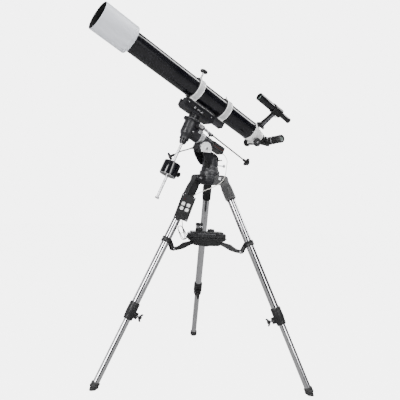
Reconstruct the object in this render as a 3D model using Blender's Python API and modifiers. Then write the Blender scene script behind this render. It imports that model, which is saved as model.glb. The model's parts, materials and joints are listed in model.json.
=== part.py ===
"""Refracting telescope on a small equatorial mount and folding tripod.

Frame: metres, +Z up, floor at z = 0, origin under the middle of the whole
object's box.  The tube points up towards -X, its eyepiece end is towards +X.
"""
import math

import bmesh
import bpy
from mathutils import Euler, Matrix, Vector

# ---------------------------------------------------------------- dimensions
ORIGIN_X = 0.1145          # from the tripod's axis to the middle of the box
ORIGIN_Y = 0.0118
GAP = 0.0003               # between pieces that touch
LATITUDE = math.radians(22.4)
HOUR_TILT = math.radians(4.2)

# Tripod
LEG_NAMES = ("left", "right", "rear")
LEG_AZIMUTHS = (math.radians(177.3), math.radians(-62.7), math.radians(57.3))
HINGE_RADIUS = 0.065
HINGE_HEIGHT = 0.853
FOOT_RADIUS = 0.499
LEG_TILT = math.atan2(FOOT_RADIUS - HINGE_RADIUS, HINGE_HEIGHT)
LEG_LENGTH = math.hypot(FOOT_RADIUS - HINGE_RADIUS, HINGE_HEIGHT)
LEG_WIDTH = 0.038
BRACKET_END = 0.098        # distances down the leg from its hinge
CLAMP_TOP = 0.590
CLAMP_END = 0.664
BOOT_TOP = 0.925
UPPER_TUBE_R = 0.0165
UPPER_BORE_R = 0.0142
LOWER_TUBE_R = 0.0134
LOWER_BORE_R = 0.0118
HUB_TOP = 0.8715
HUB_BOTTOM = 0.826

# Spreader
ARM_PIVOT_RADIUS = 0.172
ARM_PIVOT_HEIGHT = 0.542
TRAY_PIVOT_RADIUS = 0.050
TRAY_PIVOT_HEIGHT = 0.575
ARM_WIDTH = 0.012
DECK_BOTTOM = 0.586
DECK_LENGTH = 0.176
DECK_DEPTH = 0.096

# Mount
PIVOT_X = -0.052           # latitude pivot, from the tripod's axis
PIVOT_HEIGHT = 0.982
EAR_INNER = 0.0270
EAR_OUTER = 0.0330
RA_Z = 0.926               # polar axis above the frame's origin line
DEC_X = -0.522
RA_JOINT_X = -0.455        # where the turning head meets the polar housing

# Declination side, heights above the polar axis
SADDLE_BOTTOM = 0.070
BAR_TOP = 0.1165
SHAFT_TOP = -0.066
SHAFT_END = -0.3265
SHAFT_R = 0.006
WEIGHT_TOP = -0.157
WEIGHT_BOTTOM = -0.219
WEIGHT_R = 0.037

# Optical tube, distances along it towards the sky
TUBE_Z = 0.1713            # above the polar axis
TUBE_R = 0.0443
TUBE_WALL = 0.0016
TUBE_REAR = 0.2230
TUBE_FRONT = 0.950
HOOD_REAR = 0.9180
HOOD_FRONT = 1.0709
HOOD_R = 0.0593
RING_PLACES = (0.5704, 0.4031)
RING_WIDTH = 0.030
RING_R = 0.0500
LINER = 0.0009             # felt between a ring and the tube
FOCUSER_END = 0.1512
PINION_PLACE = 0.1778
PINION_DROP = 0.0413
DRAW_R = 0.0215
DRAW_END = 0.1384
DIAGONAL_PLACE = 0.1079
FINDER_ANGLE = math.radians(42)
FINDER_RADIUS = 0.152
FINDER_REAR = 0.1053
FINDER_FRONT = 0.3206
FINDER_SADDLE = 0.197

# Hand controller, distances down the left leg and sideways from it
CASE_LENGTH = 0.108
CASE_WIDTH = 0.061
CASE_DEPTH = 0.026
BUTTON = 0.0135

PALETTE = {
    "gloss_black": ((0.010, 0.010, 0.013), 0.18, 0.0),
    "hood_grey": ((0.72, 0.73, 0.76), 0.42, 0.0),
    "gloss_white": ((0.86, 0.86, 0.85), 0.25, 0.0),
    "mount_black": ((0.035, 0.035, 0.040), 0.38, 0.0),
    "plastic_black": ((0.020, 0.020, 0.022), 0.45, 0.0),
    "rubber_black": ((0.015, 0.015, 0.015), 0.75, 0.0),
    "chrome": ((0.80, 0.80, 0.82), 0.12, 1.0),
    "brushed_grey": ((0.42, 0.42, 0.44), 0.40, 0.8),
    "glass": ((0.55, 0.62, 0.60), 0.05, 0.0),
    "button_white": ((0.90, 0.90, 0.90), 0.40, 0.0),
    "cable_grey": ((0.62, 0.60, 0.57), 0.50, 0.0),
    "cable_black": ((0.02, 0.02, 0.02), 0.50, 0.0),
}


# ------------------------------------------------------------------- helpers
def clear_scene():
    for old in list(bpy.data.objects):
        bpy.data.objects.remove(old, do_unlink=True)


def collection(name):
    made = bpy.data.collections.new(name)
    bpy.context.scene.collection.children.link(made)
    return made


def material(name):
    made = bpy.data.materials.get(name)
    if made:
        return made
    colour, roughness, metallic = PALETTE[name]
    made = bpy.data.materials.new(name)
    made.use_nodes = True
    shader = made.node_tree.nodes["Principled BSDF"]
    shader.inputs["Base Color"].default_value = (*colour, 1.0)
    shader.inputs["Roughness"].default_value = roughness
    shader.inputs["Metallic"].default_value = metallic
    return made


def frame(name, parent=None, at=(0, 0, 0), turn=(0, 0, 0)):
    """An empty that carries one group of pieces."""
    empty = bpy.data.objects.new(name, None)
    empty.parent = parent
    empty.location = at
    empty.rotation_euler = Euler(turn)
    GUIDES.objects.link(empty)
    return empty


def solid_from(work):
    mesh = bpy.data.meshes.new("shape")
    work.to_mesh(mesh)
    work.free()
    return bpy.data.objects.new("shape", mesh)


def box(size, at=(0, 0, 0), turn=(0, 0, 0), bevel=0.0):
    work = bmesh.new()
    place = Matrix.LocRotScale(Vector(at), Euler(turn), Vector(size))
    bmesh.ops.create_cube(work, size=1.0, matrix=place)
    if bevel:
        bmesh.ops.bevel(work, geom=work.edges[:], offset=bevel, segments=1,
                        profile=0.5, affect="EDGES")
    return solid_from(work)


def rod(radius, start, end, end_radius=None, sides=16):
    """A cylinder or cone from one point to another."""
    start, end = Vector(start), Vector(end)
    along = end - start
    place = (Matrix.Translation((start + end) / 2)
             @ along.to_track_quat("Z", "Y").to_matrix().to_4x4())
    work = bmesh.new()
    bmesh.ops.create_cone(work, cap_ends=True, cap_tris=False, segments=sides,
                          radius1=radius, radius2=end_radius or radius,
                          depth=along.length, matrix=place)
    return solid_from(work)


def turned(profile, sides=32, hollow=False):
    """A profile of (radius, height) points, outer side top to bottom, about Z.

    A hollow profile is a closed loop; a plain one starts and ends on the axis.
    """
    count = len(profile)
    edges = [(i, i + 1) for i in range(count - 1)]
    if hollow:
        edges.append((count - 1, 0))
    mesh = bpy.data.meshes.new("shape")
    mesh.from_pydata([(r, 0.0, z) for r, z in profile], edges, [])
    shape = bpy.data.objects.new("shape", mesh)
    screw = shape.modifiers.new("turn", "SCREW")
    screw.axis = "Z"
    screw.steps = sides
    screw.render_steps = sides
    screw.use_merge_vertices = True
    screw.merge_threshold = 0.00005
    screw.use_smooth_shade = False
    return shape


def plate(outline, thickness, turn=(0, 0, 0), at=(0, 0, 0)):
    """A flat outline in XY, thickened about its own plane."""
    curve = bpy.data.curves.new("shape", "CURVE")
    curve.dimensions = "2D"
    curve.fill_mode = "BOTH"
    curve.extrude = thickness / 2
    line = curve.splines.new("POLY")
    line.points.add(len(outline) - 1)
    for point, (x, y) in zip(line.points, outline):
        point.co = (x, y, 0.0, 1.0)
    line.use_cyclic_u = True
    return curve_to_mesh(curve, Matrix.LocRotScale(Vector(at), Euler(turn), None))


def wire(points, radius, resolution=2):
    """A round wire along the points, with closed ends."""
    curve = bpy.data.curves.new("shape", "CURVE")
    curve.dimensions = "3D"
    curve.bevel_depth = radius
    curve.bevel_resolution = resolution
    curve.use_fill_caps = True
    line = curve.splines.new("POLY")
    line.points.add(len(points) - 1)
    for point, co in zip(line.points, points):
        point.co = (*co, 1.0)
    return curve_to_mesh(curve, Matrix.Identity(4))


def curve_to_mesh(curve, place):
    """The curve's own faces as one welded mesh, moved into place."""
    source = bpy.data.objects.new("outline", curve)
    GUIDES.objects.link(source)
    ready = source.evaluated_get(bpy.context.evaluated_depsgraph_get())
    mesh = bpy.data.meshes.new_from_object(ready)
    bpy.data.objects.remove(source)
    work = bmesh.new()
    work.from_mesh(mesh)
    bmesh.ops.remove_doubles(work, verts=work.verts[:], dist=0.00002)
    bmesh.ops.transform(work, matrix=place, verts=work.verts[:])
    bmesh.ops.recalc_face_normals(work, faces=work.faces[:])
    return solid_from(work)


def smooth_route(stops, spacing):
    """Evenly spaced points on a smooth curve through the stops."""
    stops = [Vector(stop) for stop in stops]
    ends = [2 * stops[0] - stops[1]] + stops + [2 * stops[-1] - stops[-2]]
    dense = []
    for a, b, c, d in zip(ends, ends[1:], ends[2:], ends[3:]):
        for step in range(24):
            t = step / 24
            dense.append(0.5 * (2 * b + (c - a) * t
                                + (2 * a - 5 * b + 4 * c - d) * t * t
                                + (3 * b - a - 3 * c + d) * t ** 3))
    dense.append(stops[-1])
    length = sum((q - p).length for p, q in zip(dense, dense[1:]))
    count = max(2, round(length / spacing))
    points, walked, target = [dense[0]], 0.0, length / count
    for p, q in zip(dense, dense[1:]):
        stretch = (q - p).length
        while walked + stretch >= target - 1e-9 and len(points) < count:
            points.append(p.lerp(q, (target - walked) / stretch))
            target += length / count
        walked += stretch
    points.append(dense[-1])
    return points


def part(name, shape, finish, parent, at=(0, 0, 0), turn=(0, 0, 0), add=(), cut=()):
    """Name a shape, give it a finish and a place, and join or cut others."""
    shape.name = name
    shape.data.name = name
    PIECES.objects.link(shape)
    shape.parent = parent
    shape.location = at
    shape.rotation_euler = Euler(turn)
    shape.data.materials.clear()
    shape.data.materials.append(material(finish))
    for operation, tools in (("UNION", add), ("DIFFERENCE", cut)):
        for tool in tools:
            TOOLS.objects.link(tool)
            tool.name = name + "_tool"
            tool.parent = shape
            tool.hide_render = True
            tool.display_type = "WIRE"
            step = shape.modifiers.new(operation.lower(), "BOOLEAN")
            step.operation = operation
            step.object = tool
            step.solver = "EXACT"
    if len(shape.data.polygons):
        shape.data.shade_smooth()
        shape.data.set_sharp_from_angle(angle=math.radians(35))
    return shape


def tube_profile(outer, inner, top, bottom):
    return [(outer, top), (outer, bottom), (inner, bottom), (inner, top)]


def knob(radius, height, stem_radius, stem):
    """A round knob above z = 0 on a stem that runs down from it."""
    soft = 0.2 * height
    return turned([(0, height), (radius - soft, height), (radius, height - soft),
                   (radius, 0), (stem_radius, 0), (stem_radius, -stem), (0, -stem)],
                  sides=16)


def lobes(radius, count, thickness, depth=0.18):
    """A flat hand wheel whose rim has round lobes, about Z."""
    outline = []
    for i in range(count * 5):
        angle = math.tau * i / (count * 5)
        reach = radius * (1 - depth + depth * math.cos(count * angle))
        outline.append((reach * math.cos(angle), reach * math.sin(angle)))
    return plate(outline, thickness)


# -------------------------------------------------------------------- tripod
def build_head(stand):
    """The hub under the mount, with a pair of ears and a bolt for each leg."""
    hub = turned([(0, HUB_TOP), (0.044, HUB_TOP), (0.0465, 0.860), (0.0465, 0.842),
                  (0.036, HUB_BOTTOM), (0, HUB_BOTTOM)], sides=24)
    ears = []
    for azimuth in LEG_AZIMUTHS:
        out = Vector((math.cos(azimuth), math.sin(azimuth), 0))
        side = Vector((-out.y, out.x, 0))
        for hand in (-1, 1):
            middle = out * 0.057 + side * hand * (LEG_WIDTH / 2 + 0.0045)
            ears.append(box((0.048, 0.007, 0.036),
                            (middle.x, middle.y, HINGE_HEIGHT - 0.004),
                            (0, 0, azimuth)))
            bolt = out * HINGE_RADIUS + side * hand * (LEG_WIDTH / 2 + 0.006)
            tip = bolt + side * hand * 0.006
            ears.append(rod(0.0065, (bolt.x, bolt.y, HINGE_HEIGHT),
                            (tip.x, tip.y, HINGE_HEIGHT), sides=8))
    part("tripod_head", hub, "mount_black", stand, add=ears)


def build_leg(stand, name, azimuth):
    """One telescoping leg; -Z of its frame runs down it, -X is the inner side."""
    hinge = (HINGE_RADIUS * math.cos(azimuth), HINGE_RADIUS * math.sin(azimuth),
             HINGE_HEIGHT)
    leg = frame("leg_frame_" + name, stand, hinge, (0, -LEG_TILT, azimuth))

    bracket = box((0.036, LEG_WIDTH, BRACKET_END - 0.030),
                  (0.001, 0, -(BRACKET_END + 0.030) / 2), bevel=0.006)
    eye = rod(0.017, (0, -LEG_WIDTH / 2, 0), (0, LEG_WIDTH / 2, 0))
    neck = box((0.028, LEG_WIDTH - 0.002, 0.05), (0.001, 0, -0.022))
    socket = rod(UPPER_TUBE_R + GAP, (0, 0, -0.045), (0, 0, -BRACKET_END - 0.01))
    part("leg_bracket_" + name, bracket, "plastic_black", leg,
         add=(eye, neck), cut=(socket,))

    part("upper_tube_" + name,
         turned(tube_profile(UPPER_TUBE_R, UPPER_BORE_R, -0.050, -CLAMP_END + 0.012), 16,
                hollow=True), "chrome", leg)

    inner = rod(UPPER_TUBE_R + GAP, (0, 0, -CLAMP_TOP + 0.01), (0, 0, -CLAMP_END + 0.012 - GAP))
    throat = rod(LOWER_TUBE_R + 2 * GAP, (0, 0, -CLAMP_TOP), (0, 0, -CLAMP_END - 0.01))
    clamp = turned([(0, -CLAMP_TOP), (0.0195, -CLAMP_TOP), (0.0215, -CLAMP_TOP - 0.012),
                    (0.0215, -CLAMP_END + 0.022), (0.0185, -CLAMP_END), (0, -CLAMP_END)],
                   16)
    boss_height = -CLAMP_END + 0.026
    boss = box((0.022, 0.024, 0.028), (-0.022, 0, boss_height))
    part("leg_clamp_" + name, clamp, "plastic_black", leg,
         add=(boss,), cut=(inner, throat))

    grip = rod(0.0050, (0, 0, -0.009), (0, 0, 0.010), sides=12)
    wing = box((0.034, 0.012, 0.011), (0, 0, 0.0105), bevel=0.003)
    part("clamp_knob_" + name, grip, "plastic_black", leg,
         (-0.0425, 0, boss_height), (0, -math.pi / 2, 0), add=(wing,))

    ground = box((0.2, 0.2, 0.08), (-0.04 * math.sin(LEG_TILT), 0,
                                    -LEG_LENGTH - 0.04 * math.cos(LEG_TILT)),
                 (0, LEG_TILT, 0))
    part("lower_leg_" + name,
         turned([(0, -BOOT_TOP), (LOWER_BORE_R, -BOOT_TOP), (LOWER_BORE_R, -0.36),
                 (LOWER_TUBE_R, -0.36), (LOWER_TUBE_R, -BOOT_TOP), (0.0170, -BOOT_TOP),
                 (0.0185, -BOOT_TOP - 0.018), (0.0125, -LEG_LENGTH + 0.010),
                 (0.0110, -LEG_LENGTH - 0.02), (0, -LEG_LENGTH - 0.02)], 16),
         "chrome", leg, cut=(ground,))

    pivot = in_leg(ARM_PIVOT_RADIUS, ARM_PIVOT_HEIGHT)
    place = pivot.z + 0.020
    collar = rod(0.0215, (0, 0, place - 0.011), (0, 0, place + 0.011))
    lug = plate([(-0.010, place + 0.009), (-0.010, place - 0.009),
                 (pivot.x - 0.004, pivot.z - 0.007), (pivot.x - 0.008, pivot.z),
                 (pivot.x - 0.004, pivot.z + 0.007)], 2 * ARM_WIDTH,
                (math.pi / 2, 0, 0))
    slot = box((0.034, ARM_WIDTH + 0.0012, 0.05), (pivot.x - 0.003, 0, pivot.z - 0.002))
    bore = rod(UPPER_TUBE_R + GAP, (0, 0, place - 0.03), (0, 0, place + 0.03))
    bolt_ends = [rod(0.005, (pivot.x, hand * (ARM_WIDTH - 0.003), pivot.z),
                     (pivot.x, hand * (ARM_WIDTH + 0.003), pivot.z), sides=8)
                 for hand in (-1, 1)]
    part("spreader_collar_" + name, collar, "plastic_black", leg,
         add=[lug] + bolt_ends, cut=(slot, bore))
    return leg


def in_leg(radius, height):
    """A point of the leg's upright plane, in the leg's own frame."""
    out, drop = radius - HINGE_RADIUS, height - HINGE_HEIGHT
    return Vector((out * math.cos(LEG_TILT) + drop * math.sin(LEG_TILT), 0,
                   -out * math.sin(LEG_TILT) + drop * math.cos(LEG_TILT)))


def build_arm(stand, name, azimuth):
    """One spreader arm, from its leg's collar in to the tray's hub."""
    out = (ARM_PIVOT_RADIUS * math.cos(azimuth), ARM_PIVOT_RADIUS * math.sin(azimuth),
           ARM_PIVOT_HEIGHT)
    arm = frame("arm_frame_" + name, stand, out, (0, 0, azimuth))
    reach = TRAY_PIVOT_RADIUS - ARM_PIVOT_RADIUS
    rise = TRAY_PIVOT_HEIGHT - ARM_PIVOT_HEIGHT
    outline = [(0.006, 0.003), (0.002, 0.007), (-0.022, 0.011), (-0.050, 0.026),
               (reach + 0.004, rise + 0.006), (reach - 0.005, rise + 0.004),
               (reach - 0.006, rise - 0.004), (-0.060, 0.004), (-0.020, -0.006),
               (0.003, -0.006)]
    part("spreader_arm_" + name, plate(outline, ARM_WIDTH, (math.pi / 2, 0, 0)),
         "plastic_black", arm)


def build_tray(stand):
    """The hub and deck that the arms carry, and the battery box on it."""
    rear = LEG_AZIMUTHS[2]
    tray = frame("tray_frame", stand, (0, 0, 0), (0, 0, rear - math.pi / 2))
    ears = []
    for azimuth in LEG_AZIMUTHS:
        own = azimuth - rear + math.pi / 2
        out = Vector((math.cos(own), math.sin(own), 0))
        side = Vector((-out.y, out.x, 0))
        for hand in (-1, 1):
            middle = out * 0.056 + side * hand * (ARM_WIDTH / 2 + 0.003)
            ears.append(box((0.076, 0.004, 0.036),
                            (middle.x, middle.y, DECK_BOTTOM - 0.016), (0, 0, own)))
    hub = rod(0.022, (0, 0, 0.553), (0, 0, DECK_BOTTOM + 0.001))
    skirt = box((0.118, 0.004, 0.034), (0, -DECK_DEPTH / 2 + 0.002, DECK_BOTTOM - 0.015),
                bevel=0.001)
    part("spreader_tray", box((DECK_LENGTH, DECK_DEPTH, 0.005),
                              (0, 0, DECK_BOTTOM + 0.0025), bevel=0.001),
         "plastic_black", tray, add=[hub, skirt] + ears)
    low = DECK_BOTTOM + 0.005 + GAP
    lid = box((DECK_LENGTH - 0.030, DECK_DEPTH - 0.016, 0.012), (0, 0, low + 0.021),
              bevel=0.004)
    part("battery_box", box((DECK_LENGTH - 0.006, DECK_DEPTH - 0.006, 0.018),
                            (0, 0, low + 0.009), bevel=0.003),
         "plastic_black", tray, add=(lid,))


# --------------------------------------------------------------------- mount
def build_azimuth(stand):
    """The turning base on the hub, its two ears and its two push bolts."""
    mount = frame("mount_frame", stand)
    outline = [(-0.030, 0.915), (0.020, 0.915), (0.021, 0.948), (0.008, 0.960),
               (-0.026, 0.972)]
    for i in range(8):
        angle = math.radians(-20 + 220 * i / 7)
        outline.append((PIVOT_X + 0.021 * math.cos(angle),
                        PIVOT_HEIGHT + 0.021 * math.sin(angle)))
    outline += [(-0.064, 0.957), (-0.046, 0.930)]
    slot = box((0.20, 2 * EAR_INNER, 0.16), (0.01, 0, 0.915 + 0.08))
    column = turned([(0, 0.957), (0.0310, 0.957), (0.0345, 0.945), (0.0365, 0.905),
                     (0.0400, 0.890), (0.0450, 0.886), (0.0450, HUB_TOP + GAP),
                     (0, HUB_TOP + GAP)], 24)
    disc = rod(0.030, (PIVOT_X, -EAR_OUTER + 0.001, PIVOT_HEIGHT),
               (PIVOT_X, -EAR_OUTER - 0.003, PIVOT_HEIGHT), sides=24)
    cap = rod(0.011, (PIVOT_X, EAR_OUTER - 0.001, PIVOT_HEIGHT),
              (PIVOT_X, EAR_OUTER + 0.009, PIVOT_HEIGHT), sides=12)
    nut = rod(0.0055, (PIVOT_X, -EAR_OUTER, PIVOT_HEIGHT),
              (PIVOT_X, -EAR_OUTER - 0.0065, PIVOT_HEIGHT), sides=8)
    cheeks = plate(outline, 2 * EAR_OUTER, (math.pi / 2, 0, 0))
    part("azimuth_base", column, "mount_black", mount, add=(cheeks, disc, cap, nut),
         cut=(slot,))

    handle = rod(0.0028, (0.016, -0.015, 0), (0.016, 0.015, 0), sides=8)
    part("latitude_bolt", rod(0.0036, (0, 0, 0), (0.019, 0, 0), sides=8), "mount_black",
         mount, (0.037, 0, 0.940), (0, 0, 0), add=(handle,))
    disc_head = rod(0.0075, (0.040, 0, 0), (0.046, 0, 0), sides=12)
    part("azimuth_bolt", rod(0.0030, (0, 0, 0), (0.044, 0, 0), sides=8), "chrome",
         mount, (0.0375, 0, 0.9165), (0, 0, 0), add=(disc_head,))
    return mount


def build_polar_housing(polar):
    """The fixed half of the polar axis, its worm, motor and lock knob."""
    pivot_x = PIVOT_X * math.cos(LATITUDE) - PIVOT_HEIGHT * math.sin(LATITUDE)
    pivot_z = PIVOT_X * math.sin(LATITUDE) + PIVOT_HEIGHT * math.cos(LATITUDE) - RA_Z
    place = Vector((pivot_x, 0, pivot_z))
    barrel = rod(0.026, Vector((RA_JOINT_X + GAP, 0, 0)) - place,
                 Vector((-0.392, 0, 0)) - place, sides=24)
    eye = rod(0.018, (0, -0.0262, 0), (0, 0.0262, 0))
    web = box((0.034, 0.044, -pivot_z), (0, 0, -pivot_z / 2))
    worm = box((0.020, 0.050, 0.030), Vector((-0.4443, 0, -0.038)) - place)
    start = Vector((-0.452, 0.0240, -0.048)) - place
    stops = [start, start + Vector((0, 0.012, -0.001)), start + Vector((-0.004, 0.030, -0.008)),
             start + Vector((-0.018, 0.058, -0.024)), start + Vector((-0.030, 0.078, -0.045))]
    cable = wire(smooth_route(stops, 0.010), 0.0032)
    part("polar_housing", barrel, "mount_black", polar, place, (0, 0, 0),
         add=(web, eye, worm, cable))

    along = (stops[-1] - stops[-2]).normalized()
    end = place + stops[-1] + along * GAP
    hub = rod(0.0060, (0, 0, 0), (0, 0, 0.022), sides=16)
    wheel = lobes(0.0200, 3, 0.009)
    wheel.location = (0, 0, 0.0205)
    turn = along.to_track_quat("Z", "Y").to_euler()
    part("ra_slow_motion_knob", hub, "plastic_black", polar, end, turn, add=(wheel,))

    part("ra_motor", box((0.072, 0.046, 0.034), bevel=0.004), "plastic_black", polar,
         (-0.392 + GAP + 0.036, -0.002, 0.005))
    lean = math.radians(25)
    reach = 0.0345
    part("ra_lock_knob", knob(0.0135, 0.013, 0.004, 0.0082), "plastic_black", polar,
         (-0.418, -reach * math.sin(lean), reach * math.cos(lean)), (lean, 0, 0))


def build_declination(hour):
    """The head that turns on the polar axis, with its shaft and weight."""
    top = 0.049
    barrel = turned([(0, top), (0.040, top), (0.040, top - 0.008), (0.029, top - 0.010),
                     (0.029, -0.024), (0.021, -0.030), (0.021, -0.046),
                     (0.0165, -0.048), (0.0165, SHAFT_TOP + GAP), (0, SHAFT_TOP + GAP)], 24)
    cross = rod(0.030, (0, 0, 0), (RA_JOINT_X - DEC_X, 0, 0), sides=24)
    worm = box((0.036, 0.030, 0.020), (0.026, -0.036, 0.030))
    part("dec_housing", barrel, "mount_black", hour, (DEC_X, 0, 0), add=(cross, worm))

    start, finish = Vector((-0.4770, -0.045, 0.030)), Vector((-0.200, -0.050, 0.014))
    along = (finish - start).normalized()
    length = (finish - start).length
    shaft = rod(0.0034, (0, 0, 0.020), (0, 0, length), sides=8)
    hub = rod(0.0062, (0, 0, length - 0.020), (0, 0, length - 0.001), sides=16)
    wheel = lobes(0.0205, 3, 0.009)
    wheel.location = (0, 0, length + 0.002)
    part("dec_slow_motion", rod(0.0062, (0, 0, 0), (0, 0, 0.022), sides=16),
         "plastic_black", hour, start, along.to_track_quat("Z", "Y").to_euler(),
         add=(shaft, hub, wheel))

    stop = rod(0.0095, (0, 0, SHAFT_END), (0, 0, SHAFT_END + 0.008))
    part("weight_shaft", rod(SHAFT_R, (0, 0, SHAFT_END + 0.002), (0, 0, SHAFT_TOP), sides=12),
         "chrome", hour, (DEC_X, 0, 0), add=(stop,))
    middle = (WEIGHT_TOP + WEIGHT_BOTTOM) / 2
    half = (WEIGHT_TOP - WEIGHT_BOTTOM) / 2
    hole = SHAFT_R + GAP
    body = turned([(hole, half), (WEIGHT_R - 0.004, half), (WEIGHT_R, half - 0.004),
                   (WEIGHT_R, -half + 0.004), (WEIGHT_R - 0.003, -half), (hole, -half)],
                  24, hollow=True)
    part("counterweight", body, "gloss_black", hour, (DEC_X, 0, middle))
    part("counterweight_knob", knob(0.0125, 0.010, 0.004, 0.0067), "plastic_black", hour,
         (DEC_X + WEIGHT_R + 0.007, 0, middle - 0.004), (0, math.pi / 2, 0))


def build_saddle(hour):
    """The clamp on the declination axis and the bar that it grips."""
    floor = SADDLE_BOTTOM + 0.021
    seat = box((0.165, 0.058, floor - SADDLE_BOTTOM), (0, 0, (floor + SADDLE_BOTTOM) / 2),
               bevel=0.002)
    jaws = [box((0.165, 0.0095, 0.022), (0, hand * 0.0242, floor + 0.007))
            for hand in (-1, 1)]
    neck = rod(0.024, (0, 0, 0.049 + GAP), (0, 0, SADDLE_BOTTOM + 0.002), sides=20)
    part("saddle", seat, "mount_black", hour, (DEC_X, 0, 0), add=jaws + [neck])
    part("saddle_knob", knob(0.0125, 0.012, 0.0035, 0.0066), "plastic_black", hour,
         (DEC_X - 0.050, 0.029 + 0.007, floor + 0.007), (-math.pi / 2, 0, 0))
    low = floor + GAP
    part("dovetail_bar", box((0.222, 0.038, BAR_TOP - low), (0, 0, (BAR_TOP + low) / 2),
                             bevel=0.001),
         "brushed_grey", hour, (-(RING_PLACES[0] + RING_PLACES[1]) / 2, 0, 0))


# ---------------------------------------------------------------- the optics
def build_rings(tube):
    drop = BAR_TOP - TUBE_Z + GAP
    for name, place in zip(("front", "rear"), RING_PLACES):
        half = RING_WIDTH / 2
        band = turned(tube_profile(RING_R, TUBE_R + LINER, half, -half), 28, hollow=True)
        bore = rod(TUBE_R + LINER, (0, 0, -0.03), (0, 0, 0.03), sides=28)
        foot = box((0.012, 0.036, RING_WIDTH - 0.002), (drop + 0.006, 0, 0))
        lug_lean = math.radians(28)
        lug = box((0.016, 0.014, RING_WIDTH - 0.006),
                  ((RING_R + 0.004) * math.cos(lug_lean),
                   (RING_R + 0.004) * math.sin(lug_lean), 0), (0, 0, lug_lean))
        hinge = rod(0.005, (0, RING_R + 0.003, -half + 0.001), (0, RING_R + 0.003, half - 0.001),
                    sides=8)
        adding = [foot, lug, hinge]
        if name == "front":
            adding.append(rod(0.009, (RING_R - 0.003, 0, 0), (RING_R + 0.007, 0, 0),
                              sides=12))
        part("ring_" + name, band, "gloss_white", tube, (0, 0, place), add=adding,
             cut=(bore,))
    part("ring_knob", knob(0.0175, 0.011, 0.0045, 0.0270), "plastic_black", tube,
         (RING_R + 0.0345, 0, RING_PLACES[0]), (0, math.pi / 2, 0))


def build_tube(tube):
    part("main_tube", turned(tube_profile(TUBE_R, TUBE_R - TUBE_WALL, TUBE_FRONT, TUBE_REAR),
                             28, hollow=True), "gloss_black", tube)
    collar = TUBE_R + GAP
    inner = HOOD_R - 0.0022
    part("dew_shield",
         turned([(HOOD_R, HOOD_FRONT), (HOOD_R, HOOD_REAR + 0.002), (HOOD_R - 0.003, HOOD_REAR),
                 (collar, HOOD_REAR), (collar, HOOD_REAR + 0.026),
                 (inner, HOOD_REAR + 0.026), (inner, HOOD_FRONT)], 28, hollow=True),
         "hood_grey", tube)
    rim = TUBE_R - TUBE_WALL - GAP
    lens = [(0, 0.006), (rim * 0.5, 0.0048), (rim, 0.002), (rim, -0.006), (0, -0.0075)]
    part("objective_lens", turned(lens, 28), "glass", tube, (0, 0, TUBE_FRONT - 0.012))


def build_focuser(tube):
    """The white casting behind the tube, its draw tube and its pinion."""
    bore = DRAW_R + GAP
    start = TUBE_REAR - GAP
    body = turned([(0.0400, start), (0.0460, start), (0.0460, 0.2000), (0.0320, 0.1830),
                   (0.0275, FOCUSER_END), (bore, FOCUSER_END), (bore, 0.2040),
                   (0.0400, 0.2070)], 28, hollow=True)
    case = box((0.026, 0.048, 0.024), (-PINION_DROP + 0.004, 0, PINION_PLACE))
    channel = box((0.018, 0.0096, 0.12), (-0.0285, 0, 0.185))
    well = rod(0.0078, (-PINION_DROP, -0.0052, PINION_PLACE),
               (-PINION_DROP, 0.0052, PINION_PLACE), sides=12)
    axle = rod(0.0038, (-PINION_DROP, -0.05, PINION_PLACE), (-PINION_DROP, 0.05, PINION_PLACE),
               sides=12)
    part("focuser_body", body, "gloss_white", tube, add=(case,),
         cut=(channel, well, axle))

    draw = turned([(DRAW_R, 0.262), (DRAW_R, 0.148), (0.0245, 0.147), (0.0245, DRAW_END),
                   (0.0160, DRAW_END), (0.0160, 0.152), (0.0195, 0.154), (0.0195, 0.262)],
                  28, hollow=True)
    rack = box((0.0130, 0.0080, 0.110), (-0.0275, 0, 0.205))
    inside = rod(0.0195, (0, 0, 0.156), (0, 0, 0.30), sides=28)
    part("draw_tube", draw, "chrome", tube, add=(rack,), cut=(inside,))

    knobs = [rod(0.0195, (0, hand * 0.0290, 0), (0, hand * 0.0420, 0), 0.0185)
             for hand in (-1, 1)]
    gear = rod(0.0068, (0, -0.0045, 0), (0, 0.0045, 0), sides=12)
    part("focus_knobs", rod(0.0034, (0, -0.040, 0), (0, 0.040, 0), sides=12),
         "plastic_black", tube, (-PINION_DROP, 0, PINION_PLACE), add=knobs + [gear])


def build_eyepiece(tube):
    """The right-angle mirror and the eyepiece in it."""
    roll = math.radians(9.2)
    star = frame("diagonal_frame", tube, (0, 0, DIAGONAL_PLACE), (0, 0, roll))
    outline = [(0.019, 0.0205), (-0.0195, 0.0205), (-0.0195, -0.019), (-0.013, -0.021),
               (0.021, 0.013)]
    body = plate(outline, 0.034, (math.pi / 2, 0, math.pi / 2))
    nose = rod(0.0155, (0, 0, 0.018), (0, 0, 0.050), sides=20)
    flange = rod(0.0200, (0, 0, 0.018), (0, 0, DRAW_END - DIAGONAL_PLACE - GAP), sides=20)
    cup = rod(0.0195, (0, -0.018, 0), (0, -0.041, 0), sides=20)
    down = rod(0.0130, (0, 0, 0), (0, 0, 0.08), sides=12)
    across = rod(0.0160, (0, -0.016, 0), (0, -0.06, 0), sides=20)
    part("star_diagonal", body, "plastic_black", star, add=(nose, flange, cup),
         cut=(down, across))
    half = math.pi / 2
    eye = turned([(0, 0.109), (0.0095, 0.109), (0.0115, 0.111), (0.0175, 0.111),
                  (0.0195, 0.106), (0.0195, 0.094), (0.0180, 0.090), (0.0180, 0.060),
                  (0.0200, 0.058), (0.0200, 0.054), (0.0185, 0.0520), (0.0185, 0.0413),
                  (0.0155, 0.0413), (0.0155, 0.020), (0, 0.020)], 20)
    part("eyepiece", eye, "plastic_black", star, (0, 0, 0), (half, 0, 0))


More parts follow.
